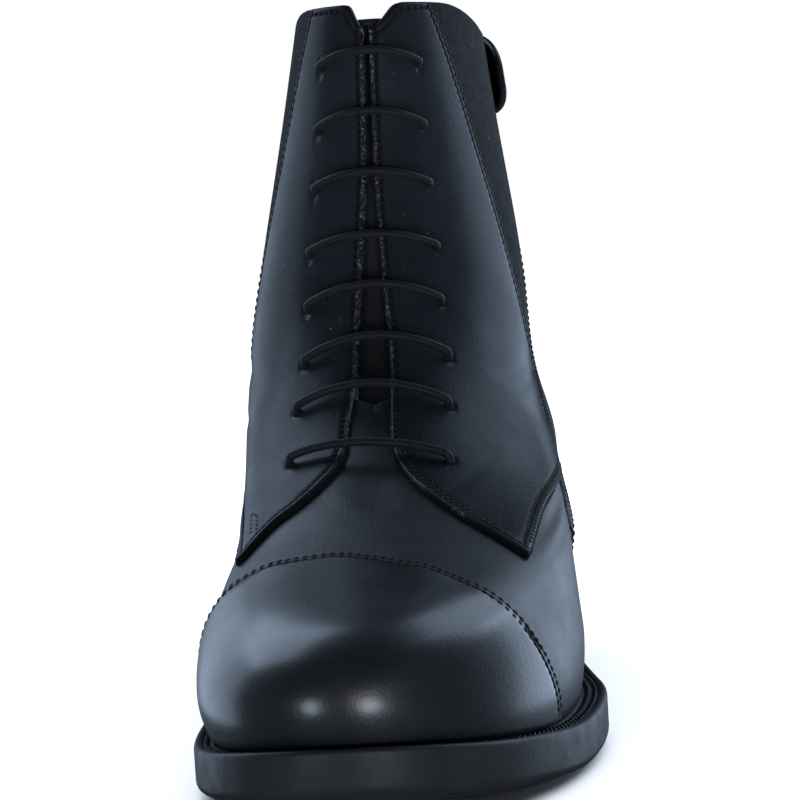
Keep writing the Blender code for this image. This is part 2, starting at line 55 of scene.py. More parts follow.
# Sections of the last from the feather line up to the collar
SECTIONS = [
    # front_l, front_z, back_l, back_z, w_ball, w_waist, w_heel, nose, tail, bend, front_x, back_x
    (0.0072, 0.0195, 0.2690, 0.0375, 0.0423, 0.0321, 0.0301, 0.30, 0.16, 1.00, 0.0007, 0.0005),
    (0.0053, 0.0270, 0.2715, 0.0470, 0.0444, 0.0348, 0.0323, 0.30, 0.17, 0.90, 0.0001, -0.0004),
    (0.0078, 0.0365, 0.2730, 0.0580, 0.0442, 0.0360, 0.0331, 0.31, 0.18, 0.72, 0.0003, -0.0008),
    (0.0182, 0.0447, 0.2730, 0.0669, 0.0425, 0.0364, 0.0332, 0.33, 0.19, 0.55, 0.0014, 0.0003),
    (0.0390, 0.0508, 0.2720, 0.0747, 0.0404, 0.0368, 0.0329, 0.35, 0.20, 0.40, 0.0021, 0.0019),
    (0.0685, 0.0571, 0.2705, 0.0835, 0.0388, 0.0362, 0.0323, 0.38, 0.23, 0.25, 0.0006, 0.0013),
    (0.1005, 0.0661, 0.2685, 0.0933, 0.0376, 0.0353, 0.0314, 0.40, 0.26, 0.12, -0.0018, 0.0004),
    (0.1258, 0.0781, 0.2665, 0.1041, 0.0369, 0.0347, 0.0309, 0.42, 0.30, 0.05, -0.0030, 0.0003),
    (0.1442, 0.0958, 0.2650, 0.1168, 0.0361, 0.0339, 0.0300, 0.44, 0.35, 0.00, -0.0033, 0.0010),
    (0.1554, 0.1188, 0.2640, 0.1335, 0.0334, 0.0313, 0.0281, 0.46, 0.40, 0.00, -0.0032, 0.0020),
    (0.1615, 0.1482, 0.2640, 0.1560, 0.0287, 0.0276, 0.0254, 0.48, 0.45, 0.00, -0.0024, 0.0026),
    (0.1645, 0.1844, 0.2655, 0.1815, 0.0236, 0.0232, 0.0220, 0.50, 0.50, 0.00, -0.0015, 0.0044),
]
STATION_BALL = 0.30
STATION_WAIST = 0.58
STATION_HEEL = 0.85
LAST = len(SECTIONS) - 1
COLUMN_BALL = 4
COLUMN_NOSE = 7
SWING_GAIN = 1.2

SOLE_TOP = [
    # l, z
    (0.000, 0.0215),
    (0.030, 0.0158),
    (0.065, 0.0125),
    (0.112, 0.0125),
    (0.160, 0.0225),
    (0.205, 0.0355),
    (0.276, 0.0390),
]
SWING = [
    # l, x
    (0.000, -0.0065),
    (0.040, -0.0012),
    (0.085, 0.0030),
    (0.150, 0.0045),
    (0.225, 0.0005),
    (0.276, 0.0000),
]

# Sole
WELT_THICK = 0.0032
SOLE_THICK = 0.0078
TREAD_THICK = 0.0015
TREAD_INSET = 0.0055
TREAD_END = 0.128
TREAD_FADE = 0.020
WELT_GROW_TOE = 0.0063
WELT_GROW_HEEL = 0.0036
GROW_START = 0.35
GROW_REACH = 0.35
WELT_INSIDE = 0.0065
INSOLE_INSET = 0.0027
INSOLE_THICK = 0.0026
JOINT = 0.0003
HEEL_BREAST = 0.207
HEEL_LIFT = 0.0062
HEEL_INSET = 0.0010
HEEL_TAPER = 0.0022

# Front slit and collar
THROAT_T = 0.662
SLIT = [
    # t, half_gap
    (0.667, 0.0042),
    (0.715, 0.0042),
    (0.780, 0.0031),
    (0.835, 0.0021),
    (0.890, 0.0011),
    (1.000, 0.0006),
]
NOTCH_DEPTH = 0.0160
NOTCH_TURN_LATERAL = 24
NOTCH_TURN_MEDIAL = 14
DROP_DEPTH = 0.0200
DROP_TURN_START = 42
DROP_TURN_END = 108
COLLAR_START = 0.04

# Seams
CAP_LOW_T = 0.014
CAP_SEAM = [
    # turn, t
    (-60.0, 0.020),
    (-59.5, 0.080),
    (-58.2, 0.150),
    (-55.0, 0.232),
    (-48.0, 0.318),
    (-31.0, 0.402),
    (-9.0, 0.435),
    (10.7, 0.412),
    (28.2, 0.334),
    (38.2, 0.256),
    (46.6, 0.155),
    (50.3, 0.078),
    (51.6, 0.020),
]
CORNER_U = 0.66
QUARTER_LOW = {
    # u, t, turn
    "lateral": [
        (0.00, 0.600, 5.5),
        (0.10, 0.564, 8.6),
        (0.25, 0.520, 16.5),
        (0.40, 0.470, 26.6),
        (0.54, 0.420, 35.6),
        (CORNER_U, 0.356, 44.7),
        (0.74, 0.405, 52.5),
        (0.84, 0.425, 63.0),
        (1.00, 0.402, 84.0),
    ],
    "medial": [
        (0.00, 0.602, 9.4),
        (0.10, 0.575, 12.0),
        (0.25, 0.535, 20.0),
        (0.40, 0.490, 30.8),
        (0.54, 0.435, 42.5),
        (CORNER_U, 0.336, 56.0),
        (0.74, 0.380, 63.0),
        (0.84, 0.408, 71.0),
        (1.00, 0.402, 84.0),
    ],
}
SIDE_SEAM = [
    # v, t, turn
    (0.00, 0.402, 84.0),
    (0.12, 0.470, 92.0),
    (0.30, 0.570, 85.0),
    (0.46, 0.665, 74.5),
    (0.55, 0.735, 69.0),
    (0.70, 0.850, 61.5),
    (0.83, 0.934, 52.5),
    (1.00, 0.998, 40.0),
]
BACK_EDGE = [
    # v, t, turn
    (0.00, 0.014, 89.0),
    (0.30, 0.250, 81.0),
    (0.42, 0.330, 79.0),
    (0.52, 0.400, 88.0),
    (0.61, 0.480, 96.0),
    (0.80, 0.740, 110.0),
    (1.00, 0.980, 118.0),
]
UNDERLAP_TURN = 1.6
GUSSET_FRONT_V = 0.13
GUSSET_BACK_V = 0.60

# Laces, tongue and tab
LACE_RADIUS = 0.0011
LACE_BOW = 0.0007
LACES = [
    # end_t, middle_t, turn, swing
    (0.555, 0.594, 29.6, -3.6),
    (0.635, 0.674, 29.2, -1.6),
    (0.696, 0.730, 28.2, 0.4),
    (0.760, 0.786, 27.2, 0.0),
    (0.815, 0.834, 27.5, 0.0),
    (0.871, 0.886, 27.0, 0.0),
    (0.916, 0.930, 27.0, 0.0),
    (0.959, 0.970, 27.4, 0.0),
]
HOLE_RADIUS = 0.0015
HOLE_DEPTH = 0.0007
HOLE_RIM = 1.25
TONGUE_THICK = 0.0018
TONGUE_GAP = 0.0006
TONGUE_LOW_T = 0.600
TONGUE_TOP_T = 0.991
TONGUE_TURN_LOW = 20.0
TONGUE_TURN_TOP = 32.0
TAB_THICK = 0.0021
TAB_FREE_TURN = 105.0
TAB_SEWN_TURN = 206.0
TAB_MIDDLE_T = 0.9400
TAB_HALF_T = 0.0400
TAB_STAND = 0.0012

# Soft troughs in the leather with a low ridge beside each, placed one by one
RIDGE = 0.8
CREASES = [
    # t, turn, slope, reach_t, reach_turn, depth
    (0.545, 0.0, 0.0000, 0.050, 9.0, 0.00070),
    (0.505, 22.0, 0.0018, 0.016, 16.0, 0.00008),
    (0.520, -20.0, -0.0018, 0.016, 16.0, 0.00008),
    (0.395, 62.0, 0.0010, 0.020, 13.0, 0.00035),
    (0.350, 70.0, 0.0012, 0.016, 15.0, 0.00030),
    (0.380, -66.0, -0.0010, 0.020, 14.0, 0.00035),
    (0.640, 64.0, -0.0008, 0.022, 20.0, 0.00045),
    (0.600, 76.0, -0.0010, 0.018, 18.0, 0.00040),
    (0.650, -66.0, 0.0008, 0.022, 20.0, 0.00045),
    (0.560, -74.0, 0.0010, 0.018, 16.0, 0.00035),
    (0.560, 150.0, 0.0006, 0.020, 26.0, 0.00040),
    (0.610, 190.0, -0.0005, 0.018, 24.0, 0.00035),
]

# Thread
STITCH_PITCH = 0.0022
STITCH_HALF = 0.00090
STITCH_RADIUS = 0.00040
STITCH_TILT = math.radians(9)
GROOVE_DEPTH = 0.00022
GROOVE_WIDTH = 0.00050
LINE_STEP = 0.00012
# Distances from a seam over which the leather's painted shade fades out
SEAM_DARK = 0.00025
SEAM_CLEAR = 0.00070
STITCH_RINGS = np.array([-1.0, -0.82, -0.4, 0.4, 0.82, 1.0])
STITCH_SIDES = 6
STITCH_FLAT = 0.45
STITCH_SINK = 1.3
STITCH_TAPER = 0.55
STITCH_REACH = 2e-4

# Rounding of the edges of the sheets
CAP_ROUND = 0.0008
QUARTER_ROUND = 0.0009
GORE_ROUND = 0.0007
LOOSE_ROUND = 0.0009
NEAR_EDGE = np.array([0, 0.10, 0.25, 0.45, 0.70, 1.0, 1.4, 1.9, 2.4, 2.9, 3.5]) * 1e-3
EDGES = ("low", "high", "left", "right")

# Steps for slopes, and limits for clean meshes
SLOPE_STEP = 1e-3
FINE_STEP = 1e-4
MERGE_DISTANCE = 1e-7
LEAST_EDGE = 1e-8
SHARP_ANGLE = math.radians(50)


def spline(table):
    """Smooth curve through the rows of a table, by its first column."""
    rows = np.asarray(table, float)
    knot = rows[:, 0]
    value = rows[:, 1:]
    count = len(knot)
    step = np.diff(knot)
    matrix = np.eye(count)
    right = np.zeros_like(value)
    for i in range(1, count - 1):
        matrix[i, i - 1:i + 2] = step[i - 1], 2 * (step[i - 1] + step[i]), step[i]
        right[i] = 6 * ((value[i + 1] - value[i]) / step[i] - (value[i] - value[i - 1]) / step[i - 1])
    bow = np.linalg.solve(matrix, right)

    def at(place):
        place = np.asarray(place, float)
        k = np.clip(np.searchsorted(knot, place) - 1, 0, count - 2)
        d = (place - knot[k])[..., None]
        h = step[k][..., None]
        slope = (value[k + 1] - value[k]) / h - h * (2 * bow[k] + bow[k + 1]) / 6
        return value[k] + slope * d + bow[k] * d ** 2 / 2 + (bow[k + 1] - bow[k]) * d ** 3 / (6 * h)

    return at


def level_curve(table):
    """Curve through the rows of a table that never swings past them."""
    rows = np.asarray(table, float)
    knot = rows[:, 0]
    value = rows[:, 1]
    step = np.diff(knot)
    rise = np.diff(value) / step
    slope = np.zeros(len(knot))
    slope[0] = rise[0]
    slope[-1] = rise[-1]
    for i in range(1, len(knot) - 1):
        if rise[i - 1] * rise[i] > 0:
            slope[i] = 2 * rise[i - 1] * rise[i] / (rise[i - 1] + rise[i])

    def at(place):
        place = np.asarray(place, float)
        k = np.clip(np.searchsorted(knot, place) - 1, 0, len(knot) - 2)
        h = step[k]
        u = (place - knot[k]) / h
        start = (1 + 2 * u) * (1 - u) ** 2 * value[k] + u * (1 - u) ** 2 * h * slope[k]
        end = u * u * (3 - 2 * u) * value[k + 1] + u * u * (u - 1) * h * slope[k + 1]
        return start + end

    return at


def ease(u):
    """Soft step from 0 to 1."""
    u = np.clip(u, 0, 1)
    return u ** 3 * (u * (6 * u - 15) + 10)


def unit(vectors):
    """The same directions at length 1."""
    return vectors / np.linalg.norm(vectors, axis=-1, keepdims=True)


def run_along(line):
    """Distance run along a line of points, at each of them."""
    return np.concatenate([[0], np.cumsum(np.linalg.norm(np.diff(line, axis=0), axis=1))])


def points_at(places, run, line):
    """Points at distances run along a line."""
    return np.stack([np.interp(places, run, line[:, k]) for k in range(3)], -1)


section_at = spline([(i / LAST,) + row for i, row in enumerate(SECTIONS)])
sole_top = level_curve(SOLE_TOP)
swing_curve = spline(SWING)
slit_curve = level_curve(SLIT)


def upper_skin(t, turn):
    """Outer skin of the upper: t from feather line to collar, turn from the front, positive if lateral."""
    t, turn = np.broadcast_arrays(np.asarray(t, float), np.asarray(turn, float))
    columns = np.moveaxis(section_at(t), -1, 0)
    front_l, front_z, back_l, back_z, w_ball, w_waist, w_heel, nose, tail, bend, front_x, back_x = columns
    s = (1 - np.cos(turn)) / 2
    half = w_ball + (w_waist - w_ball) * ease((s - STATION_BALL) / (STATION_WAIST - STATION_BALL))
    half = half + (w_heel - w_waist) * ease((s - STATION_WAIST) / (STATION_HEEL - STATION_WAIST))
    half = half * np.sqrt(1 - np.clip(1 - s / nose, 0, 1) ** 2)
    half = half * np.sqrt(1 - np.clip((s - 1 + tail) / tail, 0, 1) ** 2)
    l = front_l + (back_l - front_l) * s
    foot = SECTIONS[0]
    chord = foot[1] + (foot[3] - foot[1]) * (l - foot[0]) / (foot[2] - foot[0])
    z = front_z + (back_z - front_z) * s + bend * (sole_top(l) - chord) + SEAT
    x = np.sign(np.sin(turn)) * half + swing_curve(l)[..., 0] * np.clip(SWING_GAIN * bend, 0, 1)
    x = x + front_x + (back_x - front_x) * s
    return np.stack([x - MIDDLE_X, l - MIDDLE_L, z], -1)


def normal_at(t, turn):
    """Outward normal of the upper's skin."""
    across = upper_skin(t, turn + SLOPE_STEP) - upper_skin(t, turn - SLOPE_STEP)
    along = upper_skin(t + SLOPE_STEP, turn) - upper_skin(t - SLOPE_STEP, turn)
    return unit(np.cross(across, along))


def crease(t, turn):
    """Depth of the leather's soft troughs, with a low ridge beside each."""
    degrees = np.degrees(np.asarray(turn))
    total = np.zeros(np.broadcast(t, turn).shape)
    for middle_t, middle_turn, slope, reach_t, reach_turn, depth in CREASES:
        off = (degrees - middle_turn + 180) % 360 - 180
        place = (t - middle_t - slope * off) / reach_t
        trough = depth * (1 - RIDGE * place ** 2) * np.exp(-place ** 2)
        total = total - trough * np.exp(-(off / reach_turn) ** 2)
    return total


def skin(t, turn, depth):
    """The creased skin of the upper moved outwards by depth."""
    t, turn, depth = np.broadcast_arrays(*[np.asarray(value, float) for value in (t, turn, depth)])
    return upper_skin(t, turn) + normal_at(t, turn) * (depth + crease(t, turn))[..., None]


def skin_at(spots, depth):
    """The creased skin at places given as (t, turn)."""
    return skin(spots[..., 0], spots[..., 1], depth)


def slit_turn(t):
    """Turn of the slit's edge at a height."""
    columns = section_at(t)
    gap = np.where(np.asarray(t) > THROAT_T, slit_curve(np.clip(t, SLIT[0][0], 1)), 0)
    return gap * np.sqrt(2 * columns[..., COLUMN_NOSE]) / columns[..., COLUMN_BALL]


def collar_t(turn):
    """Top edge of the upper at a turn."""
    signed = np.degrees((np.asarray(turn) + math.pi) % (2 * math.pi) - math.pi)
    side = np.abs(signed)
    notch = NOTCH_DEPTH * (1 - ease(side / np.where(signed > 0, NOTCH_TURN_LATERAL, NOTCH_TURN_MEDIAL)))
    drop = DROP_DEPTH * ease((side - DROP_TURN_START) / (DROP_TURN_END - DROP_TURN_START))
    return 1 - notch - drop


# Nodes of the materials
def add_node(tree, kind, **values):
    """A shader node with its inputs and settings."""
    node = tree.nodes.new(kind)
    for key, value in values.items():
        name = key.replace("_", " ").title()
        if name in node.inputs:
            node.inputs[name].default_value = value
        else:
            setattr(node, key, value)
    return node


def new_material(name):
    """A material with its shader and the object's coordinates."""
    material = bpy.data.materials.new(name)
    material.use_nodes = True
    tree = material.node_tree
    place = tree.nodes.new("ShaderNodeTexCoord")
    return material, tree, tree.nodes["Principled BSDF"], place.outputs["Object"]


def noise(tree, place, scale, detail=3.0):
    """Noise of a size given as repeats per metre."""
    node = add_node(tree, "ShaderNodeTexNoise", scale=scale, detail=detail)
    tree.links.new(place, node.inputs["Vector"])
    return node.outputs["Fac"]


def map_range(tree, value, low, high, to_low, to_high):
    """Linear remap of a value, clamped."""
    node = tree.nodes.new("ShaderNodeMapRange")
    for key, number in zip(("From Min", "From Max", "To Min", "To Max"), (low, high, to_low, to_high)):
        node.inputs[key].default_value = number
    tree.links.new(value, node.inputs["Value"])
    return node.outputs["Result"]


def mix_colour(tree, share, first, second):
    """Blend of two colours, each a value or a socket."""
    node = tree.nodes.new("ShaderNodeMix")
    node.data_type = "RGBA"
    tree.links.new(share, node.inputs["Factor"])
    for socket, colour in ((node.inputs[6], first), (node.inputs[7], second)):
        if isinstance(colour, tuple):
            socket.default_value = colour + (1.0,)
        else:
            tree.links.new(colour, socket)
    return node.outputs[2]


def calculate(tree, operation, first, second):
    """One operation on two values."""
    node = add_node(tree, "ShaderNodeMath", operation=operation)
    for socket, value in zip(node.inputs, (first, second)):
        if isinstance(value, float):
            socket.default_value = value
        else:
            tree.links.new(value, socket)
    return node.outputs[0]


def add_bump(tree, height, distance, strength, below=None):
    """Bump from a height, over another bump."""
    node = add_node(tree, "ShaderNodeBump", distance=distance, strength=strength)
    tree.links.new(height, node.inputs["Height"])
    if below is not None:
        tree.links.new(below, node.inputs["Normal"])
    return node.outputs["Normal"]


def attribute(tree, name, output):
    """A value stored on the mesh."""
    node = tree.nodes.new("ShaderNodeAttribute")
    node.attribute_name = name
    return node.outputs[output]


def finish_material(tree, shader, colour, rough, normal, fixed):
    """Link what varies over the surface, and set what doesn't on the shader's own sockets."""
    for key, socket in (("Base Color", colour), ("Roughness", rough), ("Normal", normal)):
        tree.links.new(socket, shader.inputs[key])
    for key, value in fixed.items():
        shader.inputs[key].default_value = value


def paler(colour, gain):
    """A colour made paler."""
    return tuple(gain * c for c in colour)


# Painted shade: a darker colour along seams, stitch grooves, the rounded edges of the sheets and the vamp
# beside the pieces sewn over it
SEAM_SHADE_COLOUR = (0.0050, 0.0056, 0.0068)
SEAM_ROUGH = 0.95
FRAY_COLOUR = (0.20, 0.21, 0.22)
FRAY_NEAR = 0.0002
FRAY_FAR = 0.0011
RIB_DARK = (0.0050, 0.0058, 0.0070)
RIB_PALE = (0.0105, 0.0120, 0.0140)
LEATHER_PALER = 1.5
FIBRE_PALER = 2.2
DUST_PALER = 2.6


def leather(name, colour, rough, grain, coat=0.0, coat_rough=0.2, worn=False, sewn=False, shine=0.5):
    """Smooth dyed leather with pores, a soft unevenness, paler cut edges and painted shade along seams,
    grooves and rounded edges.
    """
    material, tree, shader, place = new_material(name)
    cloud = map_range(tree, noise(tree, place, scale=35.0, detail=4.0), 0.35, 0.70, 0.0, 1.0)
    tint = mix_colour(tree, cloud, colour, paler(colour, LEATHER_PALER))
    patches = noise(tree, place, scale=90.0, detail=5.0)
    dull = map_range(tree, patches, 0.3, 0.7, rough - 0.05, rough + 0.06)
    # Painted shade near seams, grooves and rounded edges, with the roughness raised there
    if sewn:
        clear = map_range(tree, attribute(tree, "seam", "Fac"), SEAM_DARK, SEAM_CLEAR, 0.0, 1.0)
        tint = mix_colour(tree, clear, SEAM_SHADE_COLOUR, tint)
        dull = calculate(tree, "MAXIMUM", dull, map_range(tree, clear, 0.0, 1.0, SEAM_ROUGH, 0.0))
        if coat > 0:
            tree.links.new(calculate(tree, "MULTIPLY", clear, coat), shader.inputs["Coat Weight"])
    if worn:
        cut = map_range(tree, attribute(tree, "cut", "Fac"), FRAY_NEAR, FRAY_FAR, 1.0, 0.0)
        fray = map_range(tree, noise(tree, place, scale=1500.0, detail=2.0), 0.52, 0.66, 0.0, 1.0)
        tint = mix_colour(tree, calculate(tree, "MULTIPLY", cut, fray), tint, FRAY_COLOUR)
    pores = add_node(tree, "ShaderNodeTexVoronoi", scale=1300.0, feature="SMOOTH_F1", smoothness=0.6)
    tree.links.new(place, pores.inputs["Vector"])
    waves = noise(tree, place, scale=70.0, detail=2.0)
    wrinkles = noise(tree, place, scale=520.0, detail=4.0)
    bump = add_bump(tree, waves, distance=0.0006, strength=0.08)
    bump = add_bump(tree, wrinkles, distance=0.00025, strength=grain * 0.5, below=bump)
    bump = add_bump(tree, pores.outputs["Distance"], distance=0.00018, strength=grain, below=bump)
    fixed = {"Coat Weight": coat, "Coat Roughness": coat_rough, "Specular IOR Level": shine}
    finish_material(tree, shader, tint, dull, bump, fixed)
    return material


def elastic(name):
    """Fine ribbed elastic cloth."""
    material, tree, shader, place = new_material(name)
    lay = attribute(tree, "lay", "Vector")
    ribs = add_node(tree, "ShaderNodeTexWave", scale=520.0, bands_direction="X", distortion=0.25)
    picks = add_node(tree, "ShaderNodeTexWave", scale=600.0, bands_direction="Y", distortion=0.4)
    for wave in (ribs, picks):
        tree.links.new(lay, wave.inputs["Vector"])
    weave = calculate(tree, "MULTIPLY", ribs.outputs["Fac"], picks.outputs["Fac"])
    tint = mix_colour(tree, weave, RIB_DARK, RIB_PALE)
    dull = map_range(tree, noise(tree, place, scale=400.0), 0.3, 0.7, 0.72, 0.88)
    bump = add_bump(tree, ribs.outputs["Fac"], distance=0.00012, strength=0.25)
    bump = add_bump(tree, weave, distance=0.00010, strength=0.25, below=bump)
    fixed = {"Specular IOR Level": 0.12, "Sheen Weight": 0.012, "Sheen Roughness": 0.5}
    finish_material(tree, shader, tint, dull, bump, fixed)
    return material


def thread(name, colour, rough, twist):
    """Waxed thread or braided cord with fine fibres."""
    material, tree, shader, place = new_material(name)
    fibres = noise(tree, place, scale=twist)
    tint = mix_colour(tree, fibres, colour, paler(colour, FIBRE_PALER))
    dull = map_range(tree, fibres, 0.3, 0.7, rough - 0.08, rough + 0.08)
    bump = add_bump(tree, fibres, distance=0.0002, strength=0.45)
    finish_material(tree, shader, tint, dull, bump, {"Specular IOR Level": 0.28, "Sheen Weight": 0.02})
    return material


def rubber(name, colour, rough):
    """Moulded rubber with a fine grain, scuffs and patches of dust."""
    material, tree, shader, place = new_material(name)
    dust = map_range(tree, noise(tree, place, scale=45.0, detail=6.0), 0.50, 0.80, 0.0, 0.35)
    tint = mix_colour(tree, dust, colour, paler(colour, DUST_PALER))
    scuff = noise(tree, place, scale=160.0, detail=6.0)
    dull = map_range(tree, scuff, 0.3, 0.7, rough - 0.06, rough + 0.08)
    bump = add_bump(tree, noise(tree, place, scale=60.0, detail=2.0), distance=0.0010, strength=0.10)
    grain = noise(tree, place, scale=1100.0, detail=3.0)
    bump = add_bump(tree, grain, distance=0.00015, strength=0.30, below=bump)
    finish_material(tree, shader, tint, dull, bump, {"Specular IOR Level": 0.27})
    return material


VAMP = leather("vamp_leather", (0.0058, 0.0070, 0.0090), 0.42, 0.20, 0.10, 0.34, worn=True, sewn=True)
CAP = leather("cap_leather", (0.0060, 0.0072, 0.0096), 0.38, 0.24, 0.72, 0.25, sewn=True, shine=0.34)
QUARTER = leather("quarter_leather", (0.0100, 0.0124, 0.0160), 0.30, 0.16, worn=True, sewn=True, shine=0.13)
LINING = leather("lining_leather", (0.016, 0.016, 0.017), 0.70, 0.35)
TONGUE = leather("tongue_leather", (0.006, 0.0066, 0.0078), 0.55, 0.25)
BOARD = leather("insole_leather", (0.020, 0.019, 0.018), 0.75, 0.40)
ELASTIC_CLOTH = elastic("elastic_cloth")
LACE = thread("lace_cord", (0.0040, 0.0048, 0.0062), 0.58, 1800.0)
THREAD = thread("sewing_thread", (0.0016, 0.0018, 0.0022), 0.62, 2600.0)
SOLE = rubber("sole_rubber", (0.0105, 0.0126, 0.0150), 0.48)
HEEL = rubber("heel_rubber", (0.0095, 0.0110, 0.0130), 0.48)
DUST = thread("dust", (0.14, 0.14, 0.14), 0.85, 900.0)


# Meshes
def add_object(name, data):
    """A new object in the scene."""
    thing = bpy.data.objects.new(name, data)
    bpy.context.scene.collection.objects.link(thing)
    return thing


def add_mesh(name, points, faces, materials, replaced=(), values=None, second=None):
    """One piece that rides on the boot, with values stored on its points."""
    mesh = bpy.data.meshes.new(name)
    mesh.from_pydata(np.asarray(points).tolist(), [], faces)
    for material in materials:
        mesh.materials.append(material)
    for key, numbers in (values or {}).items():
        numbers = np.asarray(numbers, float)
        kind = "FLOAT" if numbers.ndim == 1 else "FLOAT_VECTOR"
        layer = mesh.attributes.new(key, kind, "POINT")
        layer.data.foreach_set("value" if numbers.ndim == 1 else "vector", numbers.ravel())
    if second is not None:
        mesh.polygons.foreach_set("material_index", np.asarray(second, np.int32))
    body = bmesh.new()
    body.from_mesh(mesh)
    bmesh.ops.remove_doubles(body, verts=body.verts, dist=MERGE_DISTANCE)
    bmesh.ops.dissolve_degenerate(body, edges=body.edges, dist=LEAST_EDGE)
    bmesh.ops.recalc_face_normals(body, faces=body.faces)
    body.to_mesh(mesh)
    body.free()
    mesh.polygons.foreach_set("use_smooth", np.ones(len(mesh.polygons), bool))
    mesh.set_sharp_from_angle(angle=SHARP_ANGLE)
    piece = add_object(name, mesh)
    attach(piece, "root")
    if replaced:
        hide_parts(*replaced)


def quads(*corners):
    """Four-sided faces from grids of their corners' numbers."""
    return np.stack([corner.ravel() for corner in corners], -1)


def loop_faces(rings, count, closed=False):
    """Faces between rings that run all the way round."""
    last = rings if closed else rings - 1
    r, j = np.meshgrid(np.arange(last), np.arange(count), indexing="ij")
    k = (j + 1) % count
    s = (r + 1) % rings
    return quads(r * count + j, r * count + k, s * count + k, s * count + j).tolist()


def tube_faces(rings, count):
    """Faces of a tube with flat ends."""
    last = (rings - 1) * count
    return loop_faces(rings, count) + [list(range(count)), list(range(last, last + count))]


def sheet_faces(rows, columns, joined_rows=0):
    """Faces of a closed body between an outer and an inner grid: outer, inner, then its sides."""
    half = rows * columns
    i, j = np.meshgrid(np.arange(rows - 1), np.arange(columns - 1), indexing="ij")
    wide = np.where((j + 1 == columns - 1) & (i < joined_rows), 0, j + 1)
    wide_up = np.where((j + 1 == columns - 1) & (i + 1 < joined_rows), 0, j + 1)
    outer = quads(i * columns + j, i * columns + wide, (i + 1) * columns + wide_up, (i + 1) * columns + j)
    faces = np.concatenate([outer, outer[:, ::-1] + half])
    edges = [(j, j + 1 if j + 1 < columns - 1 or not joined_rows else 0) for j in range(columns - 1)]
    top = (rows - 1) * columns
    edges += [(top + j + 1, top + j) for j in range(columns - 1)]
    for k in range(max(joined_rows - 1, 0), rows - 1):
        edges.append(((k + 1) * columns, k * columns))
        far = k * columns + (0 if k < joined_rows else columns - 1)
        edges.append((far, (k + 1) * columns + columns - 1))
    return faces.tolist() + [(a, b, b + half, a + half) for a, b in edges]


def both_sides(outer, inner):
    """Points of an outer and an inner grid in one list."""
    return np.concatenate([outer.reshape(-1, 3), inner.reshape(-1, 3)])


def distance_to(points, line):
    """Distance of each point to a line of points."""
    run = run_along(line)
    places = np.linspace(0, run[-1], max(int(run[-1] / LINE_STEP), 2))
    fine = points_at(places, run, line)
    tree = kdtree.KDTree(len(fine))
    for number, place in enumerate(fine):
        tree.insert(place, number)
    tree.balance()
    flat = points.reshape(-1, 3)
    return np.array([tree.find(p)[2] for p in flat]).reshape(points.shape[:-1])


def edge_distances(grid, names):
    """Distance of each point of a grid to some of its edges, by name."""
    edges = dict(zip(EDGES, (grid[0], grid[-1], grid[:, 0], grid[:, -1])))
    return {name: distance_to(grid, edges[name]) for name in names}


def nearest_edge(grid, names):
    """Distance of each point of a grid to the nearest of some of its edges."""
    return np.min(list(edge_distances(grid, names).values()), axis=0)


def rounding(away, radius):
    """Share of the full height at a distance from a rounded edge."""
    return np.sqrt(1 - (1 - np.clip(away / radius, 0, 1)) ** 2)


def groove(away, depth=GROOVE_DEPTH, width=GROOVE_WIDTH):
    """Depth of a soft groove at a distance from its middle."""
    return depth * np.exp(-(away / width) ** 2)


def shares(length, count, extra=()):
    """Places from 0 to 1 over a length, closer together near both ends."""
    near = NEAR_EDGE / length
    middle = np.linspace(near[-1], 1 - near[-1], count)
    return np.unique(np.round(np.concatenate([near, middle, 1 - near, np.asarray(extra, float)]), 6))


def four_sided(low, high, left, right, u, v):
    """Points between four edges given as (t, turn), each edge a function of its own share."""
    u, v = np.meshgrid(u, v, indexing="xy")
    u = u[..., None]
    v = v[..., None]
    one = np.ones(1)
    corners = (1 - u) * (1 - v) * low(0 * one) + u * (1 - v) * low(one)
    corners = corners + (1 - u) * v * high(0 * one) + u * v * high(one)
    along = (1 - v) * low(u[..., 0]) + v * high(u[..., 0])
    return along + (1 - u) * left(v[..., 0]) + u * right(v[..., 0]) - corners


def degrees_curve(table):
    """Edge through a table of share, t and turn in degrees."""
    return spline([(share, t, math.radians(turn)) for share, t, turn in table])


def mirrored(spots, mirror):
    """The same places on the other side of the boot."""
    return spots * np.array([1, mirror])


def sewn_sheet(name, spots, thick, material, node, radius, rounded, grooves=(), dents=(), lines=(),
               scuffs=()):
    """Leather over the upper with rounded edges, grooves along its seams and dents at its holes."""
    under = skin_at(spots, UNDER)
    away = edge_distances(under, EDGES)
    nearest = np.min([away[key] for key in rounded], axis=0)
    lift = (thick - UNDER) * rounding(nearest, radius)
    # Distance to the rounded edges and stitch grooves, where the leather paints shade
    seam = np.min([away[key] for key in rounded if key != "left"], axis=0)
    for key, place in grooves:
        seam = np.minimum(seam, np.abs(away[key] - place))
        lift = lift - groove(away[key] - place)
    for line, depth, width in lines:
        lift = lift - groove(distance_to(under, skin_at(line, UNDER)), depth, width)
    for hole_t, hole_turn in dents:
        far = np.linalg.norm(under - skin(hole_t, hole_turn, UNDER), axis=-1)
        lift = lift - HOLE_DEPTH * ease(HOLE_RIM - far / HOLE_RADIUS)
    outer = skin_at(spots, UNDER + np.maximum(lift, 0))
    across = np.cumsum(np.linalg.norm(np.diff(under, axis=1, prepend=under[:, :1]), axis=-1), axis=1)
    upward = np.cumsum(np.linalg.norm(np.diff(under, axis=0, prepend=under[:1]), axis=-1), axis=0)
    cut = away["left"]
    for line in scuffs:
        cut = np.minimum(cut, distance_to(outer, skin_at(line, thick)))
    lay = np.stack([across, upward, 0 * across], -1)
    values = {"cut": np.tile(cut.ravel(), 2), "seam": np.tile(seam.ravel(), 2), "lay": both_sides(lay, lay)}
    add_mesh(name, both_sides(outer, under), sheet_faces(*cut.shape), [material], [node], values)


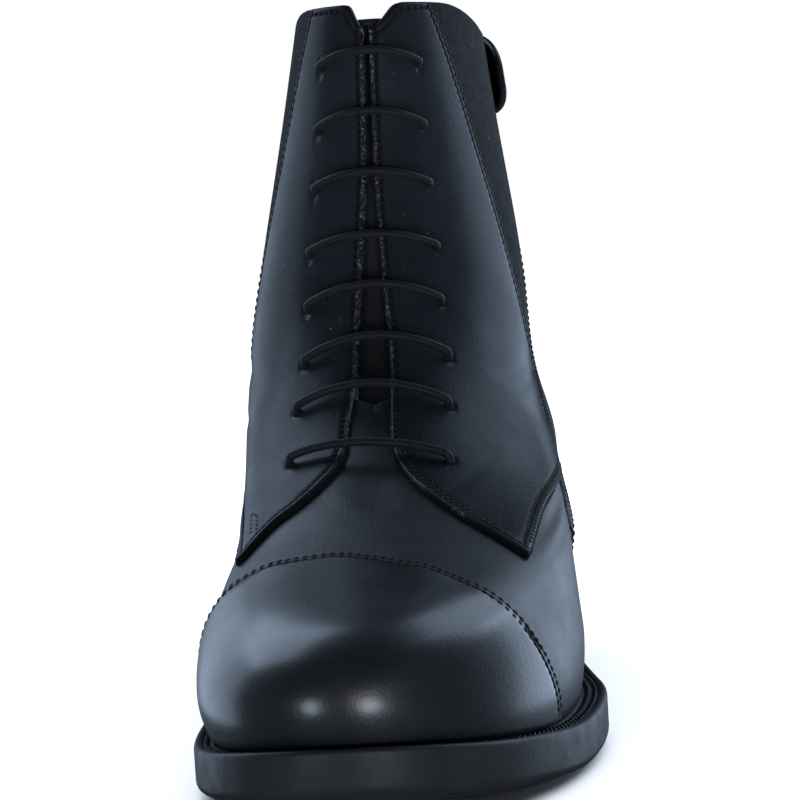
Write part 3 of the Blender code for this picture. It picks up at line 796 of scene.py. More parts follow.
# Stitches
def offset_line(spots, aside):
    """A line of (t, turn) moved sideways over the skin by a distance in metres."""
    t = spots[:, 0]
    turn = spots[:, 1]
    per_t = (upper_skin(t + FINE_STEP, turn) - upper_skin(t - FINE_STEP, turn)) / (2 * FINE_STEP)
    per_turn = (upper_skin(t, turn + FINE_STEP) - upper_skin(t, turn - FINE_STEP)) / (2 * FINE_STEP)
    step = unit(np.gradient(upper_skin(t, turn), axis=0))
    side = np.cross(normal_at(t, turn), step) * aside
    moved = spots.copy()
    for k in range(len(spots)):
        basis = np.stack([per_t[k], per_turn[k]], -1)
        moved[k] += np.linalg.lstsq(basis, side[k], rcond=None)[0]
    return moved


def stitch_places(spots, height):
    """Middle, direction and normal of each stitch along a line of (t, turn)."""
    line = skin_at(spots, height)
    run = run_along(line)
    count = max(int(run[-1] / STITCH_PITCH), 1)
    middle = (np.arange(count) + 0.5) * run[-1] / count
    t = np.interp(middle, run, spots[:, 0])
    turn = np.interp(middle, run, spots[:, 1])
    along = points_at(middle + STITCH_REACH, run, line) - points_at(middle - STITCH_REACH, run, line)
    return skin(t, turn, height), unit(along), normal_at(t, turn)


def stitch_mesh(rows):
    """Joined mesh of many stitches, each a short rounded thread dipping in at both ends."""
    angles = np.arange(STITCH_SIDES) * 2 * math.pi / STITCH_SIDES
    tube = tube_faces(len(STITCH_RINGS), STITCH_SIDES)
    points = []
    for places, along, normals, half, radius, tilt in rows:
        lean = np.cos(tilt) * along + np.sin(tilt) * np.cross(normals, along)
        for place, way, normal, flat in zip(places, lean, normals, np.cross(normals, lean)):
            for s in STITCH_RINGS:
                middle = place + way * half * s - normal * radius * STITCH_SINK * s ** 4
                width = radius * (1 - STITCH_TAPER * s ** 6)
                for angle in angles:
                    outward = math.cos(angle) * normal * STITCH_FLAT + math.sin(angle) * flat
                    points.append(middle + width * outward)
    starts = range(0, len(points), len(STITCH_RINGS) * STITCH_SIDES)
    faces = [[start + corner for corner in face] for start in starts for face in tube]
    return np.array(points), faces


def add_stitches(name, lines):
    """Rows of stitches along lines of (t, turn) on the outer leather."""
    rows = [stitch_places(spots, TOP) + (STITCH_HALF, STITCH_RADIUS, STITCH_TILT) for spots in lines]
    points, faces = stitch_mesh(rows)
    add_mesh(name, points, faces, [THREAD])


# Toe cap
CAP_WIDTH = 0.20
CAP_HEIGHT = 0.085
CAP_ROWS = (0.0008, 0.0023)
cap_seam = level_curve(CAP_SEAM)
cap_first = CAP_SEAM[0][0]
cap_last = CAP_SEAM[-1][0]
cap_turn = cap_first + (cap_last - cap_first) * (1 - np.cos(shares(CAP_WIDTH, 70) * math.pi)) / 2
cap_v = np.unique(np.concatenate([np.linspace(0, 0.9, 56), 1 - NEAR_EDGE / CAP_HEIGHT]))[:, None]
cap_t = CAP_LOW_T + cap_v * (cap_seam(cap_turn) - CAP_LOW_T)
cap_spots = np.stack([cap_t, np.radians(cap_turn) + 0 * cap_t], -1)
sewn_sheet("toe_cap_leather", cap_spots, TOP, CAP, "toe_cap", CAP_ROUND, ("high",),
           [("high", place) for place in CAP_ROWS])
seam_fine = np.linspace(cap_first + 0.5, cap_last - 0.5, 160)
seam_line = np.stack([cap_seam(seam_fine), np.radians(seam_fine)], -1)
add_stitches("cap_stitches", [offset_line(seam_line, -place) for place in CAP_ROWS])

# Quarters, gores and their seams
side_seam = degrees_curve(SIDE_SEAM)
back_edge = degrees_curve(BACK_EDGE)
seam_top = SIDE_SEAM[-1][2]


def corner_curve(table):
    """Edge with a corner, smooth on both sides of it."""
    before = degrees_curve([row for row in table if row[0] <= CORNER_U])
    after = degrees_curve([row for row in table if row[0] >= CORNER_U])
    return lambda u: np.where((u <= CORNER_U)[..., None], before(u), after(u))


quarter_low = {side: corner_curve(table) for side, table in QUARTER_LOW.items()}


def slit_edge(side):
    """Front edge of a quarter, along the slit."""
    foot_t, foot_turn = quarter_low[side](np.zeros(1))[0]
    top = collar_t(COLLAR_START)
    wide = slit_turn(np.array(SLIT[0][0]))

    def at(v):
        t = foot_t + (top - foot_t) * v
        mouth = 1 - ease((t - foot_t) / (SLIT[1][0] - foot_t))
        turn = np.where(t > THROAT_T, slit_turn(t), wide)
        return np.stack([t, turn + mouth * (foot_turn - wide)], -1)
    return at


def quarter_top(mirror):
    """Collar edge of a quarter."""
    start = float(slit_turn(collar_t(COLLAR_START)))

    def at(u):
        turn = start + (math.radians(seam_top) - start) * u
        return np.stack([collar_t(mirror * turn), turn], -1)
    return at


def tucked(edge, start, aside):
    """Edge of a gore: the upper part of another edge, moved under the leather by a turn."""
    return lambda v: edge(start + (1 - start) * v) + np.array([0, math.radians(aside)])


def between(first, last, follow_collar):
    """Straight edge in t and turn, or along the collar."""
    def at(u):
        place = first + (last - first) * u[..., None]
        if follow_collar:
            place = np.stack([collar_t(place[..., 1]), place[..., 1]], -1)
        return place
    return at


def collar_end(edge):
    """An edge whose last point sits on the collar."""
    top = edge(np.ones(1))[0]
    lift = collar_t(top[1]) - top[0]
    return lambda v: edge(v) + np.stack([lift * v, 0 * v], -1)


SLIT_ROW = 0.0015
LOW_ROW = 0.0022
DOUBLE_ROWS = (0.0009, 0.0025)
COLLAR_ROW = 0.0018
side_edge = collar_end(side_seam)
front = collar_end(tucked(side_seam, GUSSET_FRONT_V, -UNDERLAP_TURN))
rear = collar_end(tucked(back_edge, GUSSET_BACK_V, UNDERLAP_TURN))
foot_edge = between(front(np.zeros(1))[0], rear(np.zeros(1))[0], False)
top_edge = between(front(np.ones(1))[0], rear(np.ones(1))[0], True)
gusset_spots = four_sided(foot_edge, top_edge, front, rear, np.linspace(0, 1, 40), shares(0.110, 70))
fine = np.linspace(0, 1, 140)
SIDES = (("lateral", 1), ("medial", -1))
quarter_grooves = [("left", SLIT_ROW), ("low", LOW_ROW), ("high", COLLAR_ROW)]
quarter_grooves += [("right", place) for place in DOUBLE_ROWS]
# Scuffs along the lower edge of each quarter
SCUFFS = {
    # first and last share of the edge
    "lateral": [(0.16, 0.23), (0.35, 0.40)],
    "medial": [(0.20, 0.24)],
}
# Bar tack near the tip of each quarter, sewn as three sides of a small box
TACKS = {
    # t, turn
    "lateral": [(0.426, 36.0), (0.458, 38.2), (0.446, 43.4), (0.414, 41.1)],
    "medial": [(0.418, 46.3), (0.450, 48.3), (0.442, 52.8), (0.410, 50.2)],
}


def stretch(edge, start, share):
    """Fine line along an edge, from a start over a share of it."""
    return edge(fine * share + start)


def quarter_lines(side, mirror):
    """Rows of stitches on one front quarter."""
    low = quarter_low[side]
    lines = [
        offset_line(stretch(slit_edge(side), 0.02, 0.965), -SLIT_ROW),
        offset_line(stretch(low, 0.015, CORNER_U - 0.03), LOW_ROW),
        offset_line(stretch(quarter_top(mirror), 0.06, 0.90), -COLLAR_ROW),
    ]
    for place in DOUBLE_ROWS:
        lines.append(offset_line(stretch(side_edge, 0.02, 0.965), place))
        lines.append(offset_line(stretch(low, CORNER_U + 0.02, 0.97 - CORNER_U), place))
    corners = np.array([(t, math.radians(turn)) for t, turn in TACKS[side]])
    for first, last in zip(corners[:-1], corners[1:]):
        lines.append(first + (last - first) * np.linspace(0, 1, 12)[:, None])
    return [mirrored(line, mirror) for line in lines]


for side, mirror in SIDES:
    holes = [(end_t, math.radians(mirror * turn + swing)) for end_t, middle_t, turn, swing in LACES]
    quarter_edges = (quarter_low[side], quarter_top(mirror), slit_edge(side), side_edge)
    quarter_spots = four_sided(*quarter_edges, shares(0.120, 96, [CORNER_U]), shares(0.120, 96))
    sewn_sheet("quarter_leather_" + side, mirrored(quarter_spots, mirror), TOP, QUARTER,
               "front_quarter_" + side, QUARTER_ROUND, EDGES, quarter_grooves, holes,
               scuffs=[quarter_low[side](np.linspace(*ends, 20)) for ends in SCUFFS[side]])
    sewn_sheet("gore_" + side, mirrored(gusset_spots, mirror), SEWN + ELASTIC, ELASTIC_CLOTH,
               "gusset_" + side, GORE_ROUND, ("high",))
    add_stitches("quarter_stitches_" + side, quarter_lines(side, mirror))


back_near = collar_end(back_edge)


def back_far(v):
    """Front edge of the back quarter on the medial side, counted on round the heel."""
    place = back_near(v)
    return np.stack([place[..., 0], 2 * math.pi - place[..., 1]], -1)


HEEL_SEAM_DEPTH = 0.0007
HEEL_SEAM_WIDTH = 0.0006
HEEL_SEAM_ROWS = (-0.0022, 0.0022)
back_low = between(back_edge(np.zeros(1))[0], back_far(np.zeros(1))[0], False)
back_top = between(back_near(np.ones(1))[0], back_far(np.ones(1))[0], True)
back_spots = four_sided(back_low, back_top, back_near, back_far, shares(0.150, 110), shares(0.160, 96))
heel_line = np.stack([np.linspace(0.014, 0.98, 200), np.full(200, math.pi)], -1)
back_grooves = [(key, place) for key in ("left", "right") for place in DOUBLE_ROWS] + [("high", COLLAR_ROW)]
sewn_sheet("back_quarter_leather", back_spots, TOP, QUARTER, "back_quarter", QUARTER_ROUND,
           ("left", "right", "high"), back_grooves, (), [(heel_line, HEEL_SEAM_DEPTH, HEEL_SEAM_WIDTH)])
back_lines = [offset_line(stretch(back_top, 0.02, 0.96), -COLLAR_ROW)]
for place in DOUBLE_ROWS:
    back_lines.append(offset_line(stretch(back_near, 0.01, 0.97), -place))
    back_lines.append(offset_line(stretch(back_far, 0.01, 0.97), place))
back_lines += [offset_line(heel_line[4:-24], aside) for aside in HEEL_SEAM_ROWS]
add_stitches("back_stitches", back_lines)

# Upper: vamp outside, lining inside
COLUMNS = 200
low_rows = np.concatenate([np.linspace(0, 0.05, 6), np.linspace(0.06, THROAT_T, 64)])
high_rows = np.concatenate([np.linspace(SLIT[0][0], 0.965, 34), np.linspace(0.970, 1, 10)])
edge_crowd = shares(0.40, COLUMNS - 2 * len(NEAR_EDGE) + 2)
grid_t = []
grid_turn = []
for t_row in np.concatenate([low_rows, high_rows]):
    edge = float(slit_turn(t_row))
    turn_row = edge + (2 * math.pi - 2 * edge) * edge_crowd
    climb = np.clip((t_row - THROAT_T) / (1 - THROAT_T), 0, 1)
    grid_turn.append(turn_row)
    grid_t.append(t_row - climb * (1 - collar_t(turn_row)))
grid_t = np.array(grid_t)
grid_turn = np.array(grid_turn)
open_row = len(low_rows)
bare = skin(grid_t, grid_turn, 0)
rim = np.concatenate([bare[open_row - 1:, 0][::-1], bare[open_row - 1:, -1]])
cut_away = distance_to(bare, rim)
rim_away = np.minimum(cut_away, distance_to(bare, bare[-1]))
inset = WALL / 2 * (1 - rounding(rim_away, WALL / 2))
upper_outer = skin(grid_t, grid_turn, -inset)
upper_inner = skin(grid_t, grid_turn, inset - WALL)
upper_outer[0, :, 2] -= SEAT - FOOT_GAP
upper_inner[0, :, 2] = upper_outer[0, :, 2]
upper_faces = sheet_faces(*grid_t.shape, joined_rows=open_row)
one_side = (grid_t.shape[0] - 1) * (grid_t.shape[1] - 1)
upper_inside = np.arange(len(upper_faces)) // one_side == 1
# Distance to the edges of the pieces laid over the vamp, where its leather paints shade beside them
laid_edges = [seam_line, back_near(fine), back_far(fine)]
laid_edges += [mirrored(quarter_low[side](fine), mirror) for side, mirror in SIDES]
seam_away = np.min([distance_to(bare, skin_at(line, 0)) for line in laid_edges], axis=0)
upper_values = {"cut": np.tile(cut_away.ravel(), 2), "seam": np.tile(seam_away.ravel(), 2)}
add_mesh("vamp_and_lining", both_sides(upper_outer, upper_inner), upper_faces, [VAMP, LINING],
         ["upper"], upper_values, upper_inside)

# Back tab with its free round end
TAB_ROW = 0.0020
TAB_ROUND_START = 0.012
TAB_ROUND_SHARE = 0.30
NOT_CUT = 0.01
tab_u = shares(0.075, 60)
tab_turn = np.radians(TAB_FREE_TURN + (TAB_SEWN_TURN - TAB_FREE_TURN) * tab_u)
round_end = np.sqrt(1 - np.clip(1 - (tab_u + TAB_ROUND_START) / TAB_ROUND_SHARE, 0, 1) ** 2)
tab_v = (2 * shares(0.025, 20) - 1)[:, None]
tab_t = TAB_MIDDLE_T + TAB_HALF_T * tab_v * round_end
tab_middle = 2 * SEWN + LEATHER + TAB_STAND * (1 - tab_u) ** 2 + TAB_THICK / 2
tab_away = nearest_edge(skin(tab_t, tab_turn, tab_middle), EDGES)
tab_half = TAB_THICK / 2 * rounding(tab_away, LOOSE_ROUND)
tab_outer = skin(tab_t, tab_turn, tab_middle + np.maximum(tab_half - groove(tab_away - TAB_ROW), 0))
tab_points = both_sides(tab_outer, skin(tab_t, tab_turn, tab_middle - tab_half))
# Distance to the tab's stitch groove, where its leather paints shade
tab_seam = np.tile(np.abs(tab_away - TAB_ROW).ravel(), 2)
add_mesh("pull_tab", tab_points, sheet_faces(*tab_t.shape), [QUARTER], ["back_tab"],
         {"cut": np.full(len(tab_points), NOT_CUT), "seam": tab_seam})

# Tongue
TONGUE_CORNER_T = 0.006
tongue_v = shares(0.110, 40)[:, None]
tongue_u = 2 * shares(0.040, 30) - 1
tongue_turn = np.radians(TONGUE_TURN_LOW + (TONGUE_TURN_TOP - TONGUE_TURN_LOW) * tongue_v) * tongue_u
tongue_t = TONGUE_LOW_T + (TONGUE_TOP_T - TONGUE_CORNER_T * tongue_u ** 4 - TONGUE_LOW_T) * tongue_v
tongue_middle = -WALL - TONGUE_GAP - TONGUE_THICK / 2
tongue_away = nearest_edge(skin(tongue_t, tongue_turn, tongue_middle), ("high", "left", "right"))
tongue_half = TONGUE_THICK / 2 * rounding(tongue_away, LOOSE_ROUND)
tongue_sides = [skin(tongue_t, tongue_turn, tongue_middle + way * tongue_half) for way in (1, -1)]
tongue_faces = sheet_faces(*tongue_t.shape)
add_mesh("tongue_leather", both_sides(*tongue_sides), tongue_faces, [TONGUE], ["tongue"])

# Laces: braided bars that dive into their holes
BAR_RINGS = 150
BAR_SIDES = 20
BRAID_PITCH = 0.0030
BRAID_STRANDS = 4
BRAID_CORE = 0.98
BRAID_RISE = 0.045
DIVE_START = 0.90
DIVE_DEPTH = 0.0028
for number, (end_t, middle_t, turn, swing) in enumerate(LACES, start=1):
    along = np.linspace(-1, 1, BAR_RINGS)
    bar_t = middle_t + (end_t - middle_t) * along ** 2
    bar_turn = np.radians(turn * along + swing)
    dive = np.clip((np.abs(along) - DIVE_START) / (1 - DIVE_START), 0, 1)
    height = 2 * SEWN + LEATHER + LACE_RADIUS + LACE_BOW * (1 - along ** 4) - DIVE_DEPTH * dive ** 2
    path = skin(bar_t, bar_turn, height)
    tangent = unit(np.gradient(path, axis=0))
    out = normal_at(bar_t, bar_turn)
    out = unit(out - tangent * np.sum(out * tangent, axis=1, keepdims=True))
    aside = np.cross(tangent, out)
    angle = np.arange(BAR_SIDES) * 2 * math.pi / BAR_SIDES
    phase = 2 * math.pi * run_along(path)[:, None] / BRAID_PITCH
    braid = np.cos(phase + BRAID_STRANDS * angle) * np.cos(phase - BRAID_STRANDS * angle)
    radius = LACE_RADIUS * (BRAID_CORE + BRAID_RISE * braid)
    ring = np.cos(angle)[None, :, None] * out[:, None] + np.sin(angle)[None, :, None] * aside[:, None]
    bar_points = (path[:, None] + radius[..., None] * ring).reshape(-1, 3)
    bar_faces = tube_faces(BAR_RINGS, BAR_SIDES)
    add_mesh("lace_%d" % number, bar_points, bar_faces, [LACE], ["lace_bar_%d" % number])


# Sole
def edge_ring(turn, grow, drop):
    """Ring round the feather line, grown outwards and set below the welt's top."""
    place = upper_skin(0 * turn, turn)
    along = upper_skin(0 * turn, turn + SLOPE_STEP) - upper_skin(0 * turn, turn - SLOPE_STEP)
    out = unit(np.stack([along[:, 1], -along[:, 0]], -1))
    plan = place[:, :2] + out * np.asarray(grow)[..., None]
    l = plan[:, 1] + MIDDLE_L
    return np.column_stack([plan, sole_top(np.clip(l, 0, SOLE_LENGTH)) - drop(l)])


def welt_grow(turn):
    """How far the welt stands out past the feather line."""
    back_share = (1 - np.cos(turn)) / 2
    heelward = ease((back_share - GROW_START) / GROW_REACH)
    return WELT_GROW_TOE + (WELT_GROW_HEEL - WELT_GROW_TOE) * heelward


def level(depth):
    """Constant depth below the welt's top."""
    return lambda l: depth + 0 * l


def even_turns(count, first, last):
    """Turns evenly spaced along the feather line, and its length."""
    fine_turn = np.linspace(first, last, 6000)
    run = run_along(upper_skin(0 * fine_turn, fine_turn))
    return np.interp(np.linspace(0, run[-1], count), run, fine_turn), run[-1]


KNURL_PITCH = 0.0022
KNURL_HEIGHT = 0.00130
KNURL_SINK = 0.6
LIP_ROUND = 0.0013
WELT_POINTS = 2000
welt_turn, welt_run = even_turns(WELT_POINTS + 1, -math.pi, math.pi)
welt_turn = welt_turn[:-1]
grow = welt_grow(welt_turn)
teeth = 2 * math.pi * np.round(welt_run / KNURL_PITCH) * np.arange(WELT_POINTS) / WELT_POINTS
WELT_PROFILE = [
    # share of the ledge, depth, knurl row
    (-0.10, 0.0000, 0),
    (0.02, 0.0003, 0),
    (0.08, 0.0006, 0),
    (0.18, 0.0004, 1),
    (0.28, 0.0003, 1),
    (0.38, 0.0005, 0),
    (0.48, 0.0004, 2),
    (0.57, 0.0004, 2),
    (0.64, 0.0007, 0),
    (0.69, 0.0002, 0),
]
welt_rings = []
for share, depth, row in WELT_PROFILE:
    knurl = KNURL_HEIGHT * (0.5 + 0.5 * np.cos(teeth + math.pi * (row == 2))) if row else 0 * teeth
    ring = edge_ring(welt_turn, grow * share, level(depth))
    ring[:, 2] += knurl - KNURL_HEIGHT * KNURL_SINK * (row > 0)
    welt_rings.append(ring)
for angle in np.radians([90, 68, 45, 22, 0]):
    grown = grow - LIP_ROUND * (1 - math.cos(angle))
    welt_rings.append(edge_ring(welt_turn, grown, level(LIP_ROUND * (1 - math.sin(angle)))))
welt_rings.append(edge_ring(welt_turn, grow, level(WELT_THICK)))
for depth in (WELT_THICK, 0):
    welt_rings.append(edge_ring(welt_turn, -WELT_INSIDE + 0 * grow, level(depth)))
add_mesh("welt_strip", np.concatenate(welt_rings), loop_faces(len(welt_rings), WELT_POINTS, True), [SOLE],
         ["welt"])

GROOVE_STEP = 0.0062
GROOVE_HALF = 0.0011
TREAD_GROOVE = 0.0009
GROOVE_EASE = 1.4
MARGIN_FADE = 0.003
TREAD_MARGIN = 0.003
TREAD_STOP = 0.012
TREAD_STOP_FADE = 0.010
TOE_START = 0.012
TOE_FADE = 0.008
LIFT_MARGIN = 0.005
BREAST_MARGIN = 0.006
BREAST_FADE = 0.004
GROOVE_LAST = 0.262
LAST_FADE = 0.006
ACROSS = 24


def tread_level(l):
    """Underside of the tread, which fades out before the shank."""
    return WELT_THICK + SOLE_THICK + TREAD_THICK * (1 - ease((l - TREAD_END) / TREAD_FADE))


def cap_grid(ring, start, shape):
    """Points and faces that close a ring from side to side, shaped by a function of place and margin."""
    count = len(ring)
    half = count // 2
    part = np.linspace(0, 1, ACROSS + 1)
    left = ring[:half]
    right = ring[::-1][:half]
    grid = left[:, None] + (right - left)[:, None] * part[None, :, None]
    margin = np.minimum(part, 1 - part)[None, :] * np.linalg.norm(right - left, axis=1)[:, None]
    grid[..., 2] += shape(grid, margin)
    i, j = np.meshgrid(np.arange(half - 1), np.arange(ACROSS), indexing="ij")
    first = i * (ACROSS + 1) + j
    after = first + ACROSS + 1
    return grid.reshape(-1, 3), (quads(first, first + 1, after + 1, after) + start).tolist()


def cross_grooves(l, inside):
    """Cross grooves with soft sides, as deep as inside says."""
    phase = (l / GROOVE_STEP) % 1 - 0.5
    return TREAD_GROOVE * ease(GROOVE_EASE - np.abs(phase) * GROOVE_STEP / GROOVE_HALF) * inside


def tread_shape(grid, margin):
    """Cross grooves in the flat of the tread."""
    l = grid[..., 1] + MIDDLE_L
    inside = ease((margin - TREAD_MARGIN) / MARGIN_FADE)
    inside = inside * (1 - ease((l - TREAD_END + TREAD_STOP) / TREAD_STOP_FADE))
    return cross_grooves(l, inside * ease((l - TOE_START) / TOE_FADE))


def plain_shape(grid, margin):
    """A flat cap."""
    return 0 * margin


def capped_piece(name, rings, caps, material, node):
    """Closed body through rings, with shaped caps given by the number of their ring."""
    faces = loop_faces(len(rings), len(rings[0]))
    points = np.concatenate(rings)
    for number, shape in caps:
        cap_points, cap_faces = cap_grid(rings[number], len(points), shape)
        points = np.concatenate([points, cap_points])
        faces = faces + cap_faces
    add_mesh(name, points, faces, [material], [node])


SOLE_POINTS = 640
SOLE_SIDE = 0.0020
LOW_ROUND = 0.0024
SOLE_LOW = WELT_THICK + SOLE_THICK
TREAD_EDGE = [
    # inset, height over the tread's underside
    (0.0003, 0.0004),
    (0.0008, 0.0000),
]
sole_turn = even_turns(SOLE_POINTS + 1, -math.pi, math.pi)[0]
sole_turn = (sole_turn[:-1] + sole_turn[1:]) / 2
grow = welt_grow(sole_turn)
sole_rings = [edge_ring(sole_turn, grow, level(depth)) for depth in (WELT_THICK, WELT_THICK + SOLE_SIDE)]
for angle in np.radians([0, 15, 30, 45, 60, 75, 90]):
    grown = grow - LOW_ROUND * (1 - math.cos(angle))
    sole_rings.append(edge_ring(sole_turn, grown, level(SOLE_LOW - LOW_ROUND * (1 - math.sin(angle)))))
sole_rings.append(edge_ring(sole_turn, grow - TREAD_INSET, level(SOLE_LOW)))
for inset, height in TREAD_EDGE:
    sole_rings.append(edge_ring(sole_turn, grow - TREAD_INSET - inset, lambda l: tread_level(l) - height))
sole_caps = [(-1, tread_shape), (0, plain_shape)]
capped_piece("sole_with_tread", sole_rings, sole_caps, SOLE, "outsole")

INSOLE_PROFILE = [
    # inset, height over the joint
    (0.0000, 0.0000),
    (0.0000, 0.0018),
    (0.0003, 0.0024),
    (0.0009, INSOLE_THICK),
]
insole_rings = []
for inset, height in INSOLE_PROFILE:
    insole_rings.append(edge_ring(sole_turn, -INSOLE_INSET - inset + 0 * grow, level(-JOINT - height)))
PLAIN_CAPS = [(0, plain_shape), (-1, plain_shape)]
capped_piece("insole_cover", insole_rings, PLAIN_CAPS, BOARD, "insole")

# Heel block and lift
breast_share = (HEEL_BREAST - SECTIONS[0][0]) / (SECTIONS[0][2] - SECTIONS[0][0])
breast_turn = math.acos(1 - 2 * breast_share)
HEEL_POINTS = 240
HEEL_ROUND = 0.0006
HEEL_WAIST = 0.0009
heel_turn = even_turns(HEEL_POINTS, breast_turn, 2 * math.pi - breast_turn)[0]
heel_grow = welt_grow(heel_turn) - HEEL_INSET


def heel_ring(share, aside, z=None):
    """Ring of the heel at a share of its height, from its top down."""
    top = edge_ring(heel_turn, heel_grow - HEEL_TAPER * share - aside, level(SOLE_LOW))
    low = HEEL_LIFT + JOINT
    top[:, 2] = top[:, 2] + (low - top[:, 2]) * share if z is None else z
    return top


def lift_shape(grid, margin):
    """Cross grooves under the heel."""
    l = grid[..., 1] + MIDDLE_L
    inside = ease((margin - LIFT_MARGIN) / MARGIN_FADE) * ease((l - HEEL_BREAST - BREAST_MARGIN) / BREAST_FADE)
    return cross_grooves(l, inside * ease((GROOVE_LAST - l) / LAST_FADE))


LIFT_PROFILE = [
    # inset, height
    (HEEL_ROUND, HEEL_LIFT),
    (0.0, HEEL_LIFT - HEEL_ROUND),
    (0.0, 2 * HEEL_ROUND),
    (HEEL_ROUND, HEEL_ROUND * 0.4),
    (2 * HEEL_ROUND, 0.0),
]
heel_shares = np.linspace(0.0, 0.97, 10)
heel_rings = [heel_ring(share, HEEL_WAIST * math.sin(math.pi * share)) for share in heel_shares]
heel_rings.append(heel_ring(1.0, HEEL_ROUND))
capped_piece("heel_block", heel_rings, PLAIN_CAPS, HEEL, "heel")
lift_rings = [heel_ring(1.0, aside, z) for aside, z in LIFT_PROFILE]
lift_caps = [(0, plain_shape), (-1, lift_shape)]
capped_piece("heel_top_lift", lift_rings, lift_caps, SOLE, "heel_lift")

# Specks of dust on the shaft
SPECKS = 90
SPECK_SEED = 7
SPECK_T = (0.50, 0.97)
SPECK_TURN = (-1.2, 1.3)
SPECK_LIFT = 0.00003
SPECK_LEAST = 0.00006
SPECK_MORE = 0.00010
SPECK_LONG = (1.0, 2.2)
SPECK_WAY = (0, 6.3)
SPECK_SLANT = np.array([[0.3, 0.2, 1.0]])
LACED_TURN = 0.20
LACED_SHIFT = 0.25
chance = np.random.default_rng(SPECK_SEED)
speck_rows = []
for number in range(SPECKS):
    speck_t = chance.uniform(*SPECK_T)
    speck_turn = chance.uniform(*SPECK_TURN)
    if abs(speck_turn) < LACED_TURN:
        speck_turn += math.copysign(LACED_SHIFT, speck_turn)
    place = skin(speck_t, speck_turn, TOP + SPECK_LIFT)[None]
    normal = normal_at(speck_t, speck_turn)[None]
    way = unit(np.cross(normal, SPECK_SLANT))
    size = SPECK_LEAST + SPECK_MORE * chance.random() ** 3
    half = size * chance.uniform(*SPECK_LONG)
    speck_rows.append((place, way, normal, half, size, chance.uniform(*SPECK_WAY)))
speck_points, speck_faces = stitch_mesh(speck_rows)
add_mesh("dust_specks", speck_points, speck_faces, [DUST])

# Camera, from the photo's own angle
CAMERA_PLACE = Vector((0.05615, -0.78122, 0.16035))
CAMERA_YAW = 0.07225
CAMERA_PITCH = 0.09929
CAMERA_ROLL = 0.06152
CAMERA_LENS = 137.36
CAMERA_SENSOR = 36
CAMERA_NEAR = 0.01
level_right = Vector((math.cos(CAMERA_YAW), math.sin(CAMERA_YAW), 0))
ahead = Vector((-math.sin(CAMERA_YAW), math.cos(CAMERA_YAW), 0)) * math.cos(CAMERA_PITCH)
ahead.z = -math.sin(CAMERA_PITCH)
level_up = level_right.cross(ahead)
right = level_right * math.cos(CAMERA_ROLL) - level_up * math.sin(CAMERA_ROLL)
up = level_right * math.sin(CAMERA_ROLL) + level_up * math.cos(CAMERA_ROLL)
camera = add_object("camera", bpy.data.cameras.new("camera"))
camera.data.lens = CAMERA_LENS
camera.data.sensor_width = CAMERA_SENSOR
camera.data.clip_start = CAMERA_NEAR
turned = Matrix((right, up, -ahead)).transposed().to_4x4()
camera.matrix_world = Matrix.Translation(CAMERA_PLACE) @ turned
bpy.context.scene.camera = camera

# Floor
FLOOR_SIZE = 6.0
FLOOR_Z = -0.0003
FLOOR_DARK = (0.88, 0.88, 0.88)
FLOOR_PALE = (0.90, 0.90, 0.90)
floor_corners = [(x * FLOOR_SIZE, y * FLOOR_SIZE, FLOOR_Z) for x, y in ((-1, -1), (1, -1), (1, 1), (-1, 1))]
floor_mesh = bpy.data.meshes.new("floor")
floor_mesh.from_pydata(floor_corners, [], [(0, 1, 2, 3)])
floor = add_object("floor", floor_mesh)
floor_paint, floor_tree, floor_shader, floor_place = new_material("floor")
paper = map_range(floor_tree, noise(floor_tree, floor_place, 3.0), 0.3, 0.7, 0.0, 1.0)
paper = mix_colour(floor_tree, paper, FLOOR_DARK, FLOOR_PALE)
floor_tree.links.new(paper, floor_shader.inputs["Base Color"])
floor_shader.inputs["Roughness"].default_value = 0.9
floor_shader.inputs["Specular IOR Level"].default_value = 0.1
floor_mesh.materials.append(floor_paint)
floor.visible_glossy = False
floor.visible_shadow = False

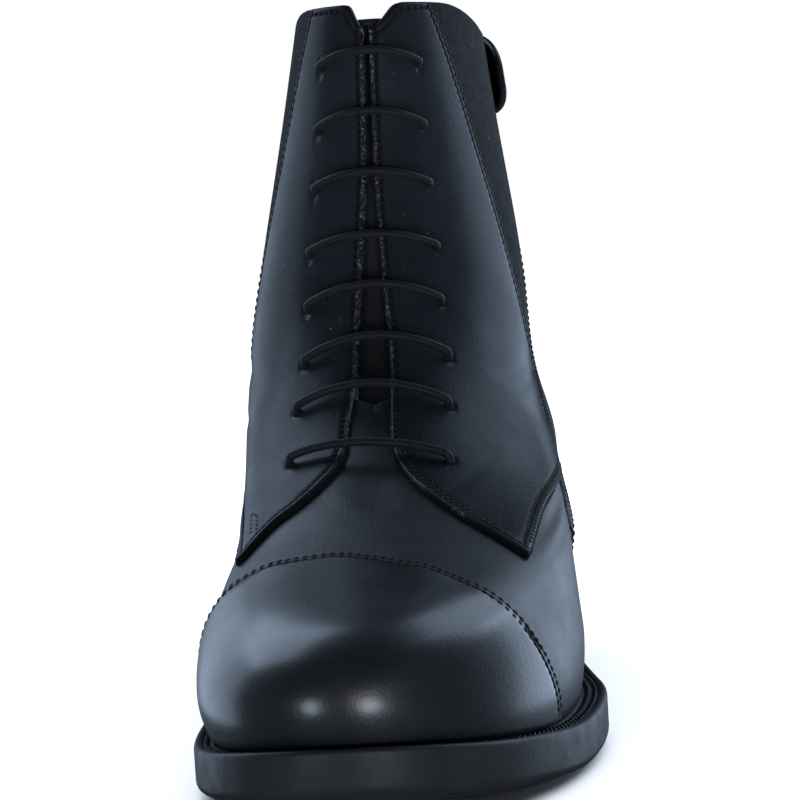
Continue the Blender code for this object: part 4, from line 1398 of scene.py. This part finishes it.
# Studio light: two boxes on each side behind the boot, three front lamps, a dim room and a bright floor
COOL = (0.60, 0.76, 1.0)
LAMPS = [
    # name, place, aim, width, height, watts, colour
    ("left_high", (-0.62, 0.50, 0.85), (0.00, 0.00, 0.10), 0.90, 0.70, 4.4, COOL),
    ("left_low", (-0.62, 0.68, 0.15), (0.00, 0.66, 0.14), 1.12, 0.80, 3.3, COOL),
    ("right_high", (0.65, 0.55, 0.85), (0.00, 0.00, 0.10), 0.90, 0.70, 3.9, COOL),
    ("right_low", (0.66, 0.79, 0.15), (0.00, 0.77, 0.14), 1.12, 0.80, 7.2, COOL),
    ("front_lamp_warm", (0.24, -1.05, 0.10), (-0.01, -0.13, 0.03), 0.10, 0.08, 0.16, (1.0, 0.50, 0.20)),
    ("front_lamp_left", (-0.47, -1.00, -0.06), (-0.01, -0.13, 0.03), 0.26, 0.34, 1.9, (0.74, 0.87, 1.0)),
    ("front_lamp_right", (0.46, -1.05, -0.08), (-0.01, -0.13, 0.03), 0.30, 0.34, 2.9, (0.80, 0.88, 1.0)),
]
for name, place, aim, width, height, watts, colour in LAMPS:
    lamp = bpy.data.lights.new(name, "AREA")
    lamp.shape = "ELLIPSE" if name.startswith("front") else "RECTANGLE"
    lamp.size = width
    lamp.size_y = height
    lamp.energy = watts
    lamp.color = colour
    light = add_object(name, lamp)
    light.location = place
    light.rotation_euler = (Vector(aim) - Vector(place)).to_track_quat("-Z", "Y").to_euler()

FLOOR_LIGHT = 3.8
FLOOR_LIGHT_ANGLE = 100
floor_only = bpy.data.collections.new("lit_floor")
floor_only.objects.link(floor)
sun = bpy.data.lights.new("floor_light", "SUN")
sun.energy = FLOOR_LIGHT
sun.angle = math.radians(FLOOR_LIGHT_ANGLE)
sun_light = add_object("floor_light", sun)
sun_light.location = (0, 0, 2)
sun_light.light_linking.receiver_collection = floor_only

ROOM = (0.045, 0.053, 0.062, 1.0)
world = bpy.data.worlds.new("studio")
world.use_nodes = True
world_tree = world.node_tree
room = world_tree.nodes["Background"]
room.inputs["Color"].default_value = ROOM
backdrop = world_tree.nodes.new("ShaderNodeBackground")
backdrop.inputs["Color"].default_value = (1.0, 1.0, 1.0, 1.0)
seen = world_tree.nodes.new("ShaderNodeLightPath")
either = world_tree.nodes.new("ShaderNodeMixShader")
world_tree.links.new(seen.outputs["Is Camera Ray"], either.inputs[0])
world_tree.links.new(room.outputs[0], either.inputs[1])
world_tree.links.new(backdrop.outputs[0], either.inputs[2])
world_tree.links.new(either.outputs[0], world_tree.nodes["World Output"].inputs["Surface"])
bpy.context.scene.world = world
bpy.context.scene.view_settings.view_transform = "Standard"
